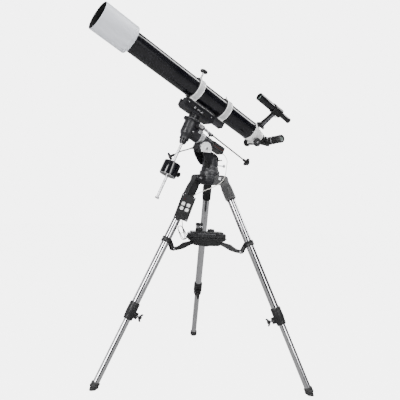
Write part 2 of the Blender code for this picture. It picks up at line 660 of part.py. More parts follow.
def build_finder(tube):
    """The small sighting telescope on its bracket."""
    finder = frame("finder_frame", tube, (0, 0, 0), (0, 0, -FINDER_ANGLE))
    foot = box((0.010, 0.024, 0.036), (0.0518, 0, FINDER_SADDLE))
    stem = rod(0.0125, (0.052, 0, FINDER_SADDLE), (FINDER_RADIUS - 0.014, 0, FINDER_SADDLE),
               0.0105, sides=8)
    ring = rod(0.0215, (FINDER_RADIUS, 0, FINDER_SADDLE - 0.027),
               (FINDER_RADIUS, 0, FINDER_SADDLE + 0.027), sides=20)
    hole = rod(0.0158, (FINDER_RADIUS, 0, FINDER_SADDLE - 0.05),
               (FINDER_RADIUS, 0, FINDER_SADDLE + 0.05), sides=20)
    part("finder_bracket", foot, "plastic_black", finder, add=(stem, ring), cut=(hole,))
    front, rear = FINDER_FRONT - FINDER_SADDLE, FINDER_REAR - FINDER_SADDLE
    sight = turned([(0, front - 0.012), (0.0158, front - 0.012), (0.0165, front),
                    (0.0180, front), (0.0180, 0.030), (0.0155, 0.0285), (0.0155, -0.030),
                    (0.0122, -0.034), (0.0122, rear + 0.010), (0.0130, rear + 0.008),
                    (0.0130, rear), (0.0085, rear), (0.0085, rear + 0.006),
                    (0, rear + 0.006)], 20)
    part("finder_scope", sight, "gloss_black", finder, (FINDER_RADIUS, 0, FINDER_SADDLE))


# ---------------------------------------------------------------- controller
def build_controller(stand):
    """The hand controller on the left leg, with its four keys."""
    control = frame("controller_frame", stand, (-0.148, -0.034, 0.722),
                    (0, math.radians(17.7), math.radians(-36.54)))
    wells, clip = [], box((0.020, 0.016, 0.024), (0.004, CASE_DEPTH / 2 + 0.005, 0.030))
    face = -CASE_DEPTH / 2
    places = [(x, z) for z in (0.0137, -0.0067) for x in (-0.0115, 0.0115)]
    for x, z in places:
        wells.append(box((BUTTON + 0.0008, 0.008, BUTTON + 0.0008), (x, face, z)))
    part("controller_case", box((CASE_WIDTH, CASE_DEPTH, CASE_LENGTH), bevel=0.004),
         "plastic_black", control, add=(clip,), cut=wells)
    for count, (x, z) in enumerate(places, 1):
        part("controller_button_%d" % count, box((BUTTON, 0.0035, BUTTON), bevel=0.0008),
             "button_white", control, (x, face, z))


def build_cords(stand):
    """The motor's cable, the battery cord and the tied hank between them."""
    motor = [(0.0585, -0.012, 0.9705), (0.0640, -0.022, 0.9620), (0.0560, -0.050, 0.9380),
             (0.0300, -0.080, 0.9100), (0.0060, -0.105, 0.8750), (-0.0120, -0.113, 0.8470),
             (-0.0340, -0.108, 0.8270), (-0.0600, -0.096, 0.8100), (-0.0850, -0.080, 0.7970),
             (-0.1080, -0.064, 0.7830), (-0.1205, -0.0545, 0.7725)]
    part("motor_cable", wire(smooth_route(motor, 0.009), 0.0015), "cable_grey", stand)
    battery = [(-0.1535, -0.0255, 0.6655), (-0.1500, -0.0215, 0.6560),
               (-0.1465, -0.0150, 0.6480), (-0.1440, -0.0090, 0.6405)]
    part("battery_cord", wire(smooth_route(battery, 0.005), 0.0018), "cable_black", stand)
    ends = []
    for i in range(9):
        angle = math.pi * i / 8
        ends.append((0.011 * math.cos(angle), 0.021 + 0.011 * math.sin(angle)))
    outline = ends + [(-x, -z) for x, z in ends]
    part("cord_hank", plate(outline, 0.011, (math.pi / 2, 0, 0)), "cable_black", stand,
         (-0.1340, -0.0020, 0.6120), (0, math.radians(-24), math.radians(-36.54)))


def build():
    stand = frame("stand_frame", None, (ORIGIN_X, ORIGIN_Y, 0))
    build_head(stand)
    for name, azimuth in zip(LEG_NAMES, LEG_AZIMUTHS):
        build_leg(stand, name, azimuth)
        build_arm(stand, name, azimuth)
    build_tray(stand)
    mount = build_azimuth(stand)
    polar = frame("polar_frame", mount, (RA_Z * math.sin(LATITUDE), 0,
                                         RA_Z * math.cos(LATITUDE)), (0, LATITUDE, 0))
    build_polar_housing(polar)
    hour = frame("hour_frame", polar, (0, 0, 0), (HOUR_TILT, 0, 0))
    build_declination(hour)
    build_saddle(hour)
    tube = frame("tube_frame", hour, (0, 0, TUBE_Z), (0, -math.pi / 2, 0))
    build_rings(tube)
    build_tube(tube)
    build_focuser(tube)
    build_eyepiece(tube)
    build_finder(tube)
    build_controller(stand)
    build_cords(stand)


clear_scene()
PIECES = collection("telescope_on_tripod")
TOOLS = collection("cutters")
GUIDES = collection("guides")
build()
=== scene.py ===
"""Refracting telescope on an equatorial mount and a folding tripod: the finished surfaces.

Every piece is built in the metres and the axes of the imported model, around its
nodes and joints, which are the frame that the surfaces hang on.
"""
import json
import math

import bmesh
import bpy
import numpy as np
from mathutils import Matrix, Vector

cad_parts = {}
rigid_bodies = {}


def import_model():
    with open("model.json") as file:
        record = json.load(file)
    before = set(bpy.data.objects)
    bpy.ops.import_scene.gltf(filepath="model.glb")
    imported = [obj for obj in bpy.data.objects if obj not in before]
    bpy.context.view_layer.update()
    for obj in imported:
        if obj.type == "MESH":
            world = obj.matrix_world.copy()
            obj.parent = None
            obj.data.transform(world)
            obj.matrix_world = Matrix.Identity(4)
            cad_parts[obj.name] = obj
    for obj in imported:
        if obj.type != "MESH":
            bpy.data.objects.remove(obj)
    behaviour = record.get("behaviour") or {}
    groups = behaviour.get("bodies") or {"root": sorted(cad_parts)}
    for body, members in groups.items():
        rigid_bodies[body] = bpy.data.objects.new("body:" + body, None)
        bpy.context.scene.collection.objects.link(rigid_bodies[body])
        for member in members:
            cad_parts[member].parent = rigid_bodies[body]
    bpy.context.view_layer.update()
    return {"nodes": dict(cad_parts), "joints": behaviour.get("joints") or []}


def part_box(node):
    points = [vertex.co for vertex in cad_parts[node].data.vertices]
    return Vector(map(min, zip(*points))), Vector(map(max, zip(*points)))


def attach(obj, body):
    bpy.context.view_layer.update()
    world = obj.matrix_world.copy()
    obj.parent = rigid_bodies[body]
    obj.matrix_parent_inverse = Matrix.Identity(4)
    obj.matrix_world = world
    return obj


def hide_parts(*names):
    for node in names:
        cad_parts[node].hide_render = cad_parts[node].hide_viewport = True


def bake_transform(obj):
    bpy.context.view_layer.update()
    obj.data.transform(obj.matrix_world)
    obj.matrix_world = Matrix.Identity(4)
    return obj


bl_info = {
    "name": "Telescope on Tripod",
    "version": (1, 0, 0),
    "blender": (4, 5, 0),
    "location": "3D View > Sidebar > Telescope",
    "description": "Builds a refracting telescope on an equatorial mount and tripod",
    "category": "Object",
}

for leftover in list(bpy.data.objects):
    bpy.data.objects.remove(leftover)
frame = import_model()
JOINTS = {joint["name"]: joint for joint in frame["joints"]}
LEGS = ("left", "right", "rear")
TAU = math.tau


# -------------------------------------------------------------------- places
def axis_of(name):
    return Vector(JOINTS[name]["axis"]).normalized()


def point_of(name):
    return Vector(JOINTS[name]["pos_m"])


def axes(origin, z, x):
    """A place at origin whose Z and X run along the given directions."""
    z = z.normalized()
    y = z.cross(x).normalized()
    place = Matrix((y.cross(z), y, z)).transposed().to_4x4()
    place.translation = origin
    return place


def span(node, place):
    """Lowest and highest corner of a node in a place's own axes."""
    mesh = frame["nodes"][node].data
    co = np.empty(len(mesh.vertices) * 3)
    mesh.vertices.foreach_get("co", co)
    inverse = np.array(place.inverted())
    local = co.reshape(-1, 3) @ inverse[:3, :3].T + inverse[:3, 3]
    return Vector(local.min(0)), Vector(local.max(0))


def on_axis(node, z, x):
    """A place on a long node's centreline, at its low end."""
    place = axes(Vector((0, 0, 0)), z, x)
    low, high = span(node, place)
    middle = (low + high) / 2
    place.translation = place @ Vector((middle.x, middle.y, low.z))
    return place


UP, EAST = Vector((0, 0, 1)), Vector((1, 0, 0))
STAND = axes(Vector((point_of("azimuth_turn").x, point_of("azimuth_turn").y, 0)), UP, EAST)
POLAR_X = -axis_of("ra_turn")
POLAR = axes(point_of("ra_turn"), POLAR_X.cross(axis_of("latitude_tilt")), POLAR_X)
DEC_RISE = (point_of("dec_turn") - point_of("ra_turn")).dot(axis_of("dec_turn"))
HOUR = axes(point_of("dec_turn") - DEC_RISE * axis_of("dec_turn"), axis_of("dec_turn"), POLAR_X)
TUBE = on_axis("main_tube", axis_of("bar_slide"), axis_of("dec_turn"))
STAR = axes(point_of("diagonal_turn"), axis_of("diagonal_turn"),
            axis_of("diagonal_turn").cross(axis_of("eyepiece_slide")))
FINDER = on_axis("finder_scope", axis_of("bar_slide"), axis_of("dec_turn"))
FINDER = axes(FINDER.translation, axis_of("bar_slide"),
              FINDER.translation - TUBE @ Vector((0, 0, (TUBE.inverted() @ FINDER.translation).z)))
LEG = {name: axes(point_of(f"leg_{name}_fold"), -axis_of(f"leg_{name}_extend"),
                  -axis_of(f"leg_{name}_fold").cross(axis_of(f"leg_{name}_extend")))
       for name in LEGS}
ARM = {name: axes(point_of(f"arm_{name}_fold"), UP, axis_of(f"arm_{name}_fold").cross(UP))
       for name in LEGS}
TRAY = axes(STAND.translation, UP, axis_of("leg_rear_fold").cross(UP).cross(UP))
KEYS = [Vector(sum(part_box(f"controller_button_{i}"), Vector()) / 2) for i in (1, 2, 3, 4)]
CONTROL = axes(Vector(), (KEYS[1] - KEYS[0]).cross(axis_of("button_1_press")), KEYS[1] - KEYS[0])
CASE_LOW, CASE_HIGH = span("controller_case", CONTROL)
CONTROL.translation = CONTROL @ Vector(((CASE_LOW.x + CASE_HIGH.x) / 2, CASE_LOW.y,
                                        (CASE_LOW.z + CASE_HIGH.z) / 2))


# ------------------------------------------------------------------ surfaces
class Shape:
    """Points, faces and the finish of every face."""

    def __init__(self, points, faces, finish):
        self.points = np.asarray(points, float).reshape(-1, 3)
        self.faces = [tuple(face) for face in faces]
        self.finish = [finish] * len(self.faces) if isinstance(finish, str) else finish

    def moved(self, place):
        turn = np.array(place)
        return Shape(self.points @ turn[:3, :3].T + turn[:3, 3], self.faces, self.finish)


def arc(radius, start, end, count, centre=(0.0, 0.0)):
    """Points on an arc: centre plus radius times the cosine and sine of evenly stepped degrees."""
    angle = np.radians(np.linspace(start, end, count))
    return [(centre[0] + radius * math.cos(a), centre[1] + radius * math.sin(a)) for a in angle]


def lathe(profile, finish, steps=64, loop=False, lobes=(0, 0.0, 0.0), bands=None):
    """A profile of (radius, height) points turned about Z: x = r cos a, y = r sin a, z = height.

    lobes is (count, depth, from_radius): beyond that radius r is drawn in by up to
    depth, as half of one minus the cosine of count times a.  bands names the finish
    of single segments.
    """
    profile = np.array(profile, float)
    angle = np.arange(steps) * TAU / steps
    count, depth, reach = lobes
    ripple = depth * (0.5 - 0.5 * np.cos(count * angle))
    radius = profile[:, :1] - np.where(profile[:, :1] > reach, ripple, 0.0)
    grid = np.stack([radius * np.cos(angle), radius * np.sin(angle),
                     np.repeat(profile[:, 1:], steps, axis=1)], axis=-1)
    rows = len(profile)
    index = np.arange(rows * steps).reshape(rows, steps)
    poles = profile[:, 0] < 1e-7
    index[poles] = index[poles][:, :1]
    after = np.roll(index, -1, axis=1)
    faces, finishes = [], []
    for low in range(rows if loop else rows - 1):
        high = (low + 1) % rows
        if poles[low] and poles[high]:
            continue
        quad = np.stack([index[low], after[low], after[high], index[high]], axis=1)
        if poles[low]:
            quad = quad[:, [0, 2, 3]]
        elif poles[high]:
            quad = quad[:, [0, 1, 2]]
        faces += quad.tolist()
        finishes += [(bands or {}).get(low, finish)] * steps
    return tidy(Shape(grid, faces, finishes))


def tidy(shape):
    """The same shape without the points that no face uses."""
    used = np.unique(np.concatenate([np.asarray(face) for face in shape.faces]))
    place = np.zeros(len(shape.points), int)
    place[used] = np.arange(len(used))
    faces = [tuple(place[list(face)]) for face in shape.faces]
    return Shape(shape.points[used], faces, shape.finish)


def pipe(outer, inner, low, high, finish, inside=None, steps=64):
    """A tube wall: up the outer side and down the inner one."""
    return lathe([(outer, low), (outer, high), (inner, high), (inner, low)], finish, steps,
                 loop=True, bands={2: inside or finish})


def disc(radius, low, high, finish, steps=32, top=None, soft=0.0):
    """A solid round between two heights, its upper rim softened by soft."""
    return lathe([(0, low), (radius, low), (radius, high - soft), (radius - soft, high), (0, high)]
                 if soft else [(0, low), (radius, low), (radius, high), (0, high)],
                 finish, steps, bands={(3 if soft else 2): top or finish})


def prism(outline, low, high, finish):
    """An outline in XY carried straight from one height to another."""
    flat = np.array(outline, float)
    count = len(flat)
    points = np.concatenate([np.c_[flat, np.full(count, low)], np.c_[flat, np.full(count, high)]])
    here = np.arange(count)
    after = (here + 1) % count
    sides = np.stack([here, after, after + count, here + count], axis=1).tolist()
    return Shape(points, [here[::-1].tolist(), (here + count).tolist()] + sides, finish)


def slab(centre, size, finish, turn=0.0):
    """A block about a centre, turned about Z by degrees."""
    half = np.array(size, float) / 2
    shape = prism([(-half[0], -half[1]), (half[0], -half[1]), (half[0], half[1]),
                   (-half[0], half[1])], -half[2], half[2], finish)
    return shape.moved(Matrix.Translation(centre) @ Matrix.Rotation(math.radians(turn), 4, "Z"))


def swept(path, radius, finish, sides=16, flat=1.0):
    """A round section carried along a path: centre plus radius (cos b side + sin b up).

    The side vector is carried from point to point without twist; radius may be one
    value for each point, and flat squashes the section.
    """
    path = np.array(path, float)
    step = np.gradient(path, axis=0)
    step /= np.linalg.norm(step, axis=1)[:, None]
    side = np.zeros_like(path)
    start = np.array((0.0, 0.0, 1.0)) if abs(step[0][2]) < 0.9 else np.array((1.0, 0.0, 0.0))
    side[0] = np.cross(step[0], start)
    for i in range(1, len(path)):
        side[i] = side[i - 1] / np.linalg.norm(side[i - 1])
        side[i] -= step[i] * (side[i] @ step[i])
    side /= np.linalg.norm(side, axis=1)[:, None]
    rise = np.cross(side, step)
    angle = np.arange(sides) * TAU / sides
    reach = np.broadcast_to(np.asarray(radius, float), len(path))[:, None, None]
    grid = path[:, None] + reach * (np.cos(angle)[None, :, None] * side[:, None]
                                    + flat * np.sin(angle)[None, :, None] * rise[:, None])
    index = np.arange(len(path) * sides).reshape(len(path), sides)
    after = np.roll(index, -1, axis=1)
    walls = np.stack([index[:-1], index[1:], after[1:], after[:-1]], axis=-1).reshape(-1, 4)
    caps = [index[0].tolist(), index[-1][::-1].tolist()]
    return Shape(grid, walls.tolist() + caps, finish)


def toward(start, end):
    """A place at start whose Z points to end."""
    along = Vector(end) - Vector(start)
    return Matrix.Translation(start) @ along.to_track_quat("Z", "Y").to_matrix().to_4x4()


def rod(start, end, radius, finish, steps=32, soft=0.0):
    """A round bar between two points."""
    length = (Vector(end) - Vector(start)).length
    return disc(radius, 0, length, finish, steps, soft=soft).moved(toward(start, end))


def bolt(start, direction, radius, height, finish, sides=0):
    """A socket screw's round head, or a hexagon where sides is 6, standing on a face."""
    place = toward(start, Vector(start) + Vector(direction))
    if sides:
        return lathe([(0, -0.001), (radius, -0.001), (radius, 0.8 * height),
                      (0.85 * radius, height), (0, height)], finish, sides).moved(place)
    return lathe([(0, -0.001), (radius, -0.001), (radius, 0.75 * height), (0.86 * radius, height),
                  (0.5 * radius, height), (0.42 * radius, 0.45 * height), (0, 0.4 * height)],
                 finish, 24).moved(place)


def smooth_route(stops, spacing):
    """Points at even distances on a smooth curve through the stops.

    Between two stops the curve is the cubic whose slope at each is half the
    difference of its neighbours.
    """
    stops = np.array([tuple(stop) for stop in stops], float)
    ends = np.concatenate([[2 * stops[0] - stops[1]], stops, [2 * stops[-1] - stops[-2]]])
    t = (np.arange(24) / 24)[None, :, None]
    a, b, c, d = (ends[i:len(ends) - 3 + i][:, None] for i in range(4))
    dense = 0.5 * (2 * b + (c - a) * t + (2 * a - 5 * b + 4 * c - d) * t ** 2
                   + (3 * b - a - 3 * c + d) * t ** 3)
    dense = np.concatenate([dense.reshape(-1, 3), stops[-1:]])
    walked = np.concatenate([[0], np.cumsum(np.linalg.norm(np.diff(dense, axis=0), axis=1))])
    wanted = np.linspace(0, walked[-1], max(3, round(walked[-1] / spacing)) + 1)
    return np.stack([np.interp(wanted, walked, dense[:, k]) for k in range(3)], axis=1)


def eased(path, radius, rounds=400):
    """The same route with each bend that is tighter than the radius let out.

    The bend at a point is |a - 2b + c| / d^2, for neighbours a and c at the
    distance d. Where it is over 1 / radius, b moves towards their middle.
    """
    path = path.copy()
    for _ in range(rounds):
        pull = path[:-2] - 2 * path[1:-1] + path[2:]
        gap = np.linalg.norm(path[2:] - path[:-2], axis=1) / 2
        bend = np.linalg.norm(pull, axis=1) / gap ** 2
        share = np.clip(bend * radius - 1, 0, 1)[:, None]
        path[1:-1] += 0.25 * share * pull
    return path


def piece(name, shapes, place, body, nodes=(), bevel=0.0005, sharp=38):
    """One named piece from several shapes, riding on a body and standing for its nodes."""
    counts = np.cumsum([0] + [len(shape.points) for shape in shapes])
    local = np.concatenate([shape.points for shape in shapes])
    faces = [tuple(int(i) + start for i in face)
             for shape, start in zip(shapes, counts) for face in shape.faces]
    finishes = [name for shape in shapes for name in shape.finish]
    kinds = sorted(set(finishes))
    turn = np.array(place)
    mesh = bpy.data.meshes.new(name)
    mesh.from_pydata((local @ turn[:3, :3].T + turn[:3, 3]).tolist(), [], faces)
    mesh.attributes.new("local", "FLOAT_VECTOR", "POINT").data.foreach_set("vector", local.ravel())
    for kind in kinds:
        mesh.materials.append(finish_named(kind))
    mesh.polygons.foreach_set("material_index", [kinds.index(kind) for kind in finishes])
    work = bmesh.new()
    work.from_mesh(mesh)
    bmesh.ops.dissolve_degenerate(work, dist=1e-6, edges=work.edges[:])
    bmesh.ops.recalc_face_normals(work, faces=work.faces[:])
    work.to_mesh(mesh)
    work.free()
    mesh.shade_smooth()
    mesh.set_sharp_from_angle(angle=math.radians(sharp))
    made = bpy.data.objects.new(name, mesh)
    bpy.context.scene.collection.objects.link(made)
    if bevel:
        soft = made.modifiers.new("soft_edges", "BEVEL")
        soft.width = bevel
        soft.segments = 2
        soft.limit_method = "ANGLE"
        soft.angle_limit = math.radians(sharp)
        soft.use_clamp_overlap = True
        soft.harden_normals = True
    if body:
        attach(made, body)
    if nodes:
        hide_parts(*nodes)
    return made


# ------------------------------------------------------------------ finishes
class Wire:
    """A shader socket that adds, subtracts, multiplies and divides as numbers do."""

    def __init__(self, tree, socket):
        self.tree = tree
        self.socket = socket

    def maths(self, operation, first, second):
        node = self.tree.nodes.new("ShaderNodeMath")
        node.operation = operation
        put(self.tree, first, node.inputs[0])
        put(self.tree, second, node.inputs[1])
        return Wire(self.tree, node.outputs[0])

    def __add__(self, other):
        return self.maths("ADD", self, other)

    def __radd__(self, other):
        return self.maths("ADD", other, self)

    def __sub__(self, other):
        return self.maths("SUBTRACT", self, other)

    def __rsub__(self, other):
        return self.maths("SUBTRACT", other, self)

    def __mul__(self, other):
        return self.maths("MULTIPLY", self, other)

    def __rmul__(self, other):
        return self.maths("MULTIPLY", other, self)

    def __truediv__(self, other):
        return self.maths("DIVIDE", self, other)


def put(tree, value, socket):
    """Links a wire to a socket, or sets the socket's own value."""
    if isinstance(value, Wire):
        tree.links.new(value.socket, socket)
    elif socket.type == "RGBA":
        socket.default_value = (*tuple(value)[:3], 1.0)
    else:
        socket.default_value = value


class Finish:
    """A material under construction."""

    def __init__(self, name):
        self.material = bpy.data.materials.new(name)
        self.material.use_nodes = True
        self.tree = self.material.node_tree
        self.shader = self.tree.nodes["Principled BSDF"]

    def node(self, kind, settings=None, output=0, **inputs):
        made = self.tree.nodes.new(kind)
        for key, value in (settings or {}).items():
            if key == "stops":
                for stop, (at, shade) in zip(made.color_ramp.elements, value):
                    stop.position = at
                    stop.color = (shade, shade, shade, 1.0)
            else:
                setattr(made, key, value)
        for key, value in inputs.items():
            put(self.tree, value, made.inputs[key.replace("_", " ")])
        return Wire(self.tree, made.outputs[output])

    def place(self, stretch=(1, 1, 1)):
        """The piece's own axes, stretched."""
        local = self.node("ShaderNodeAttribute", {"attribute_name": "local"}, output=1)
        return self.node("ShaderNodeMapping", Vector=local, Scale=stretch)

    def noise(self, scale, detail=2.0, stretch=(1, 1, 1)):
        """Soft noise from 0 to 1 with about scale bumps to the metre."""
        return self.node("ShaderNodeTexNoise", Vector=self.place(stretch), Scale=scale,
                         Detail=detail)

    def step(self, value, low, high):
        """0 below low, 1 above high, and straight between them."""
        return self.node("ShaderNodeMapRange", Value=value, From_Min=low, From_Max=high)

    def tint(self, mask, first, second):
        """The first colour where the mask is 0 and the second where it is 1."""
        mix = self.tree.nodes.new("ShaderNodeMix")
        mix.data_type = "RGBA"
        put(self.tree, mask, mix.inputs[0])
        put(self.tree, first, mix.inputs[6])
        put(self.tree, second, mix.inputs[7])
        return Wire(self.tree, mix.outputs[2])

    def bump(self, height, strength, depth):
        return self.node("ShaderNodeBump", Height=height, Strength=strength, Distance=depth)

    def done(self, **inputs):
        for key, value in inputs.items():
            put(self.tree, value, self.shader.inputs[key.replace("_", " ")])
        return self.material


def shade(colour, factor):
    return tuple(min(1.0, channel * factor) for channel in colour)


def enamel(name, colour, roughness, coat):
    """Sprayed gloss paint: a faint orange-peel skin and a thin veil of handling dust."""
    paint = Finish(name)
    veil = paint.step(paint.noise(9, 5), 0.42, 0.75)
    dust = paint.step(paint.noise(700, 2), 0.60, 0.72)
    peel = paint.bump(paint.noise(420, 1), 0.02, 0.0001)
    return paint.done(Base_Color=paint.tint(veil * 0.5 + dust * 0.35, colour,
                                            tuple(c * 0.86 + 0.012 for c in colour)),
                      Roughness=roughness + veil * 0.06 + dust * 0.10, Normal=peel,
                      Coat_Weight=coat, Coat_Roughness=0.06, IOR=1.5)


def powder(name, colour, roughness, grain):
    """Powder-coated casting: pebbled skin, rubbed smoother in patches."""
    coat = Finish(name)
    pebble = coat.noise(1500, 3)
    rubbed = coat.step(coat.noise(28, 4), 0.45, 0.70)
    height = pebble + coat.noise(190, 2) * 0.6
    return coat.done(Base_Color=coat.tint(rubbed * 0.7, colour, shade(colour, 1.7)),
                     Roughness=roughness - rubbed * 0.10 + pebble * 0.12,
                     Normal=coat.bump(height, grain, 0.0003), IOR=1.5)


def satin(name, colour):
    """Satin plastic: nearly even, with a whisper of mottle and a fine tooth."""
    skin = Finish(name)
    mottle = skin.noise(16, 3)
    return skin.done(Base_Color=skin.tint(mottle, shade(colour, 0.97), shade(colour, 1.03)),
                     Roughness=0.36 + mottle * 0.06, Normal=skin.bump(skin.noise(1400, 2), 0.03, 0.0001))


def moulded(name, colour, roughness, grain):
    """Injection-moulded plastic: a fine spark-eroded texture and slight sink marks."""
    resin = Finish(name)
    spark = resin.node("ShaderNodeTexVoronoi", {"feature": "SMOOTH_F1"}, Vector=resin.place(),
                       Scale=1700, Smoothness=0.6)
    sink = resin.noise(45, 2)
    return resin.done(Base_Color=resin.tint(sink, shade(colour, 0.8), shade(colour, 1.35)),
                      Roughness=roughness + sink * 0.10 - 0.05 + spark * 0.08,
                      Normal=resin.bump(spark + sink * 1.5, grain, 0.00025), IOR=1.47)


def polished(name, colour, roughness, lines):
    """Plated tube: a mirror with hairlines along it and a few dull breaths of haze."""
    plate = Finish(name)
    hair = plate.noise(900, 2, (1, 1, 0.02))
    haze = plate.step(plate.noise(14, 3), 0.5, 0.85)
    return plate.done(Base_Color=plate.tint(haze, colour, shade(colour, 0.90)),
                      Metallic=1.0, Roughness=roughness + hair * lines + haze * 0.05)


def brushed(name, colour, roughness, stretch):
    """Brushed metal: long scratches on one line, deeper ones few and far between."""
    metal = Finish(name)
    fine = metal.noise(1600, 3, stretch)
    deep = metal.step(metal.noise(300, 2, stretch), 0.62, 0.74)
    return metal.done(Base_Color=metal.tint(deep + fine * 0.5, colour, shade(colour, 0.72)),
                      Metallic=1.0, Roughness=roughness + fine * 0.18,
                      Normal=metal.bump(fine + deep * 0.4, 0.18, 0.0001))


def cloth(name, colour):
    """Felt: matted fibres that catch a little light at the edges."""
    felt = Finish(name)
    fibre = felt.noise(2600, 4)
    return felt.done(Base_Color=felt.tint(fibre, shade(colour, 0.6), shade(colour, 1.6)),
                     Roughness=0.95, Normal=felt.bump(fibre, 0.6, 0.0004), Sheen_Weight=0.4,
                     Specular_IOR_Level=0.15)


def rubber(name, colour):
    """Rubber with a dusty bloom."""
    skin = Finish(name)
    bloom = skin.step(skin.noise(60, 5), 0.4, 0.8)
    return skin.done(Base_Color=skin.tint(bloom, colour, tuple(c + 0.03 for c in colour)),
                     Roughness=0.62 + bloom * 0.22, Normal=skin.bump(skin.noise(800, 3), 0.25, 0.0003))


def jacket(name, colour):
    """Cable jacket: soft vinyl, slightly wavy from the conductors inside."""
    vinyl = Finish(name)
    wave = vinyl.noise(220, 2)
    return vinyl.done(Base_Color=vinyl.tint(wave, shade(colour, 0.85), shade(colour, 1.1)),
                      Roughness=0.38 + wave * 0.15, Normal=vinyl.bump(wave, 0.25, 0.0003))


def lens_glass(name):
    """Coated glass: clear, with a faint green and violet painted sheen: the coating's reflections painted into
    the glass colour.
    """
    glass = Finish(name)
    # painted sheen: this noise mixes the green and violet of the coating's reflections into the glass colour,
    # and varies the roughness a little
    ring = glass.noise(18, 1)
    return glass.done(Base_Color=glass.tint(ring, (0.62, 0.86, 0.78), (0.70, 0.66, 0.92)),
                      Roughness=0.02 + ring * 0.02, Transmission_Weight=1.0, IOR=1.5,
                      Coat_Weight=1.0, Coat_Roughness=0.02)


def lamp(name, colour):
    """A small tinted lamp lens, unlit."""
    dome = Finish(name)
    core = dome.noise(500, 2)
    return dome.done(Base_Color=dome.tint(core, colour, shade(colour, 0.5)), Roughness=0.15 + core * 0.1,
                     Coat_Weight=0.8)


def printed(name, colour):
    """Matt white scale plate, faintly mottled."""
    plate = Finish(name)
    mottle = plate.noise(120, 4)
    return plate.done(Base_Color=plate.tint(mottle, colour, shade(colour, 0.92)),
                      Roughness=0.42 + mottle * 0.15, Normal=plate.bump(mottle, 0.08, 0.0002))


def finish_makers(look):
    """How each finish of the telescope is made, from the colours in the sidebar."""
    black, plastic, mount = look.tube_colour, look.plastic_colour, look.mount_colour
    return {
        "tube_enamel": lambda name: enamel(name, black, 0.12, 0.35),
        "gloss_plastic": lambda name: enamel(name, shade(plastic, 0.8), 0.26, 0.0),
        "white_enamel": lambda name: enamel(name, look.casting_colour, 0.20, 0.4),
        "hood_satin": lambda name: satin(name, look.hood_colour),
        "band_grey": lambda name: printed(name, look.band_colour),
        "scale_white": lambda name: printed(name, (0.90, 0.90, 0.92)),
        "scale_mark": lambda name: printed(name, (0.13, 0.13, 0.15)),
        "key_white": lambda name: moulded(name, (0.84, 0.84, 0.86), 0.38, 0.03),
        "mount_paint": lambda name: powder(name, mount, 0.36, 0.16),
        "mount_gloss": lambda name: enamel(name, shade(mount, 0.7), 0.28, 0.0),
        "moulded_black": lambda name: moulded(name, plastic, 0.42, 0.12),
        "moulded_grey": lambda name: moulded(name, shade(plastic, 7), 0.40, 0.10),
        "inner_black": lambda name: moulded(name, shade(plastic, 0.5), 0.9, 0.3),
        "chrome": lambda name: polished(name, (0.80, 0.79, 0.78), 0.05, 0.05),
        "steel": lambda name: brushed(name, (0.62, 0.62, 0.64), 0.24, (1, 1, 0.05)),
        "silver_casting": lambda name: powder_silver(name),
        "bar_aluminium": lambda name: brushed(name, look.bar_colour, 0.30, (1, 1, 0.03)),
        "felt_black": lambda name: cloth(name, (0.012, 0.012, 0.013)),
        "boot_rubber": lambda name: rubber(name, (0.018, 0.018, 0.019)),
        # glass with the coating's green and violet sheen painted into its colour
        "lens_glass": lens_glass,
        "lamp_red": lambda name: lamp(name, (0.08, 0.012, 0.012)),
        "cable_pale": lambda name: jacket(name, (0.62, 0.60, 0.56)),
        "cable_black": lambda name: jacket(name, (0.012, 0.012, 0.013)),
        "cable_red": lambda name: jacket(name, (0.13, 0.055, 0.05)),
    }


def powder_silver(name):
    """Bare tumbled casting: bright, softly grained."""
    cast = Finish(name)
    grain = cast.noise(900, 3)
    worn = cast.step(cast.noise(30, 3), 0.4, 0.8)
    return cast.done(Base_Color=cast.tint(worn, (0.70, 0.70, 0.72), (0.86, 0.86, 0.87)), Metallic=0.9,
                     Roughness=0.28 + grain * 0.16, Normal=cast.bump(grain, 0.15, 0.0002))


def finish_named(name):
    """The finish of that name, made the first time that it is asked for."""
    ready = bpy.data.materials.get(name)
    if ready:
        return ready
    return finish_makers(bpy.context.scene.telescope_looks)[name](name)


# -------------------------------------------------------------------- helpers
SIDE = Matrix.Rotation(math.pi / 2, 4, "X")      # stands an outline up: its y becomes Z
MINUS_Y = Vector((0, -1, 0))


def knob_place(joint):
    """A knob's own axes: Z out along its joint."""
    axis = axis_of(joint)
    return axes(point_of(joint), axis, UP if abs(axis.z) < 0.9 else EAST)


def mushroom(low, high, radius, stem, head, finish, flutes=10, top=None):
    """A fluted head of that height on a stem, from low to high."""
    base = high - head
    grip = lathe([(0, base), (0.72 * radius, base), (0.95 * radius, base + 0.16 * head),
                  (radius, base + 0.35 * head), (radius, base + 0.70 * head),
                  (0.90 * radius, base + 0.92 * head), (0.70 * radius, high),
                  (0.62 * radius, high - 0.0006), (0, high - 0.0006)], finish, flutes * 8,
                 lobes=(flutes, 0.10 * radius, 0.8 * radius), bands={7: top or finish})
    return [grip, disc(stem, low, base + 0.001, finish)]


def lobed_wheel(low, high, radius, finish):
    """A three-lobed grip with a dimple in its face."""
    return lathe([(0, low), (0.85 * radius, low), (radius, low + 0.002), (radius, high - 0.002),
                  (0.86 * radius, high), (0.30 * radius, high), (0.22 * radius, high - 0.0012),
                  (0, high - 0.0012)], finish, 96, lobes=(3, 0.28 * radius, 0.5 * radius))


def rounded(width, depth, radius, count=6):
    """A rectangle's outline with round corners."""
    x, y = width / 2 - radius, depth / 2 - radius
    outline = []
    for turn, corner in enumerate([(x, y), (-x, y), (-x, -y), (x, -y)]):
        outline += arc(radius, 90 * turn, 90 * turn + 90, count, corner)
    return outline


def plate(outline, low, high, finish):
    """An outline in X and Z, from one Y to another."""
    return prism(outline, -high, -low, finish).moved(SIDE)


class Build:
    """What every operator here shares."""
    bl_options = {"REGISTER", "UNDO"}

    def execute(self, context):
        self.make(context.scene.telescope_sizes)
        return {"FINISHED"}


def length(name, text, default):
    return bpy.props.FloatProperty(name=name, description=text, default=default, min=0.0005,
                                   soft_max=2.0, precision=4, unit="LENGTH", subtype="DISTANCE")


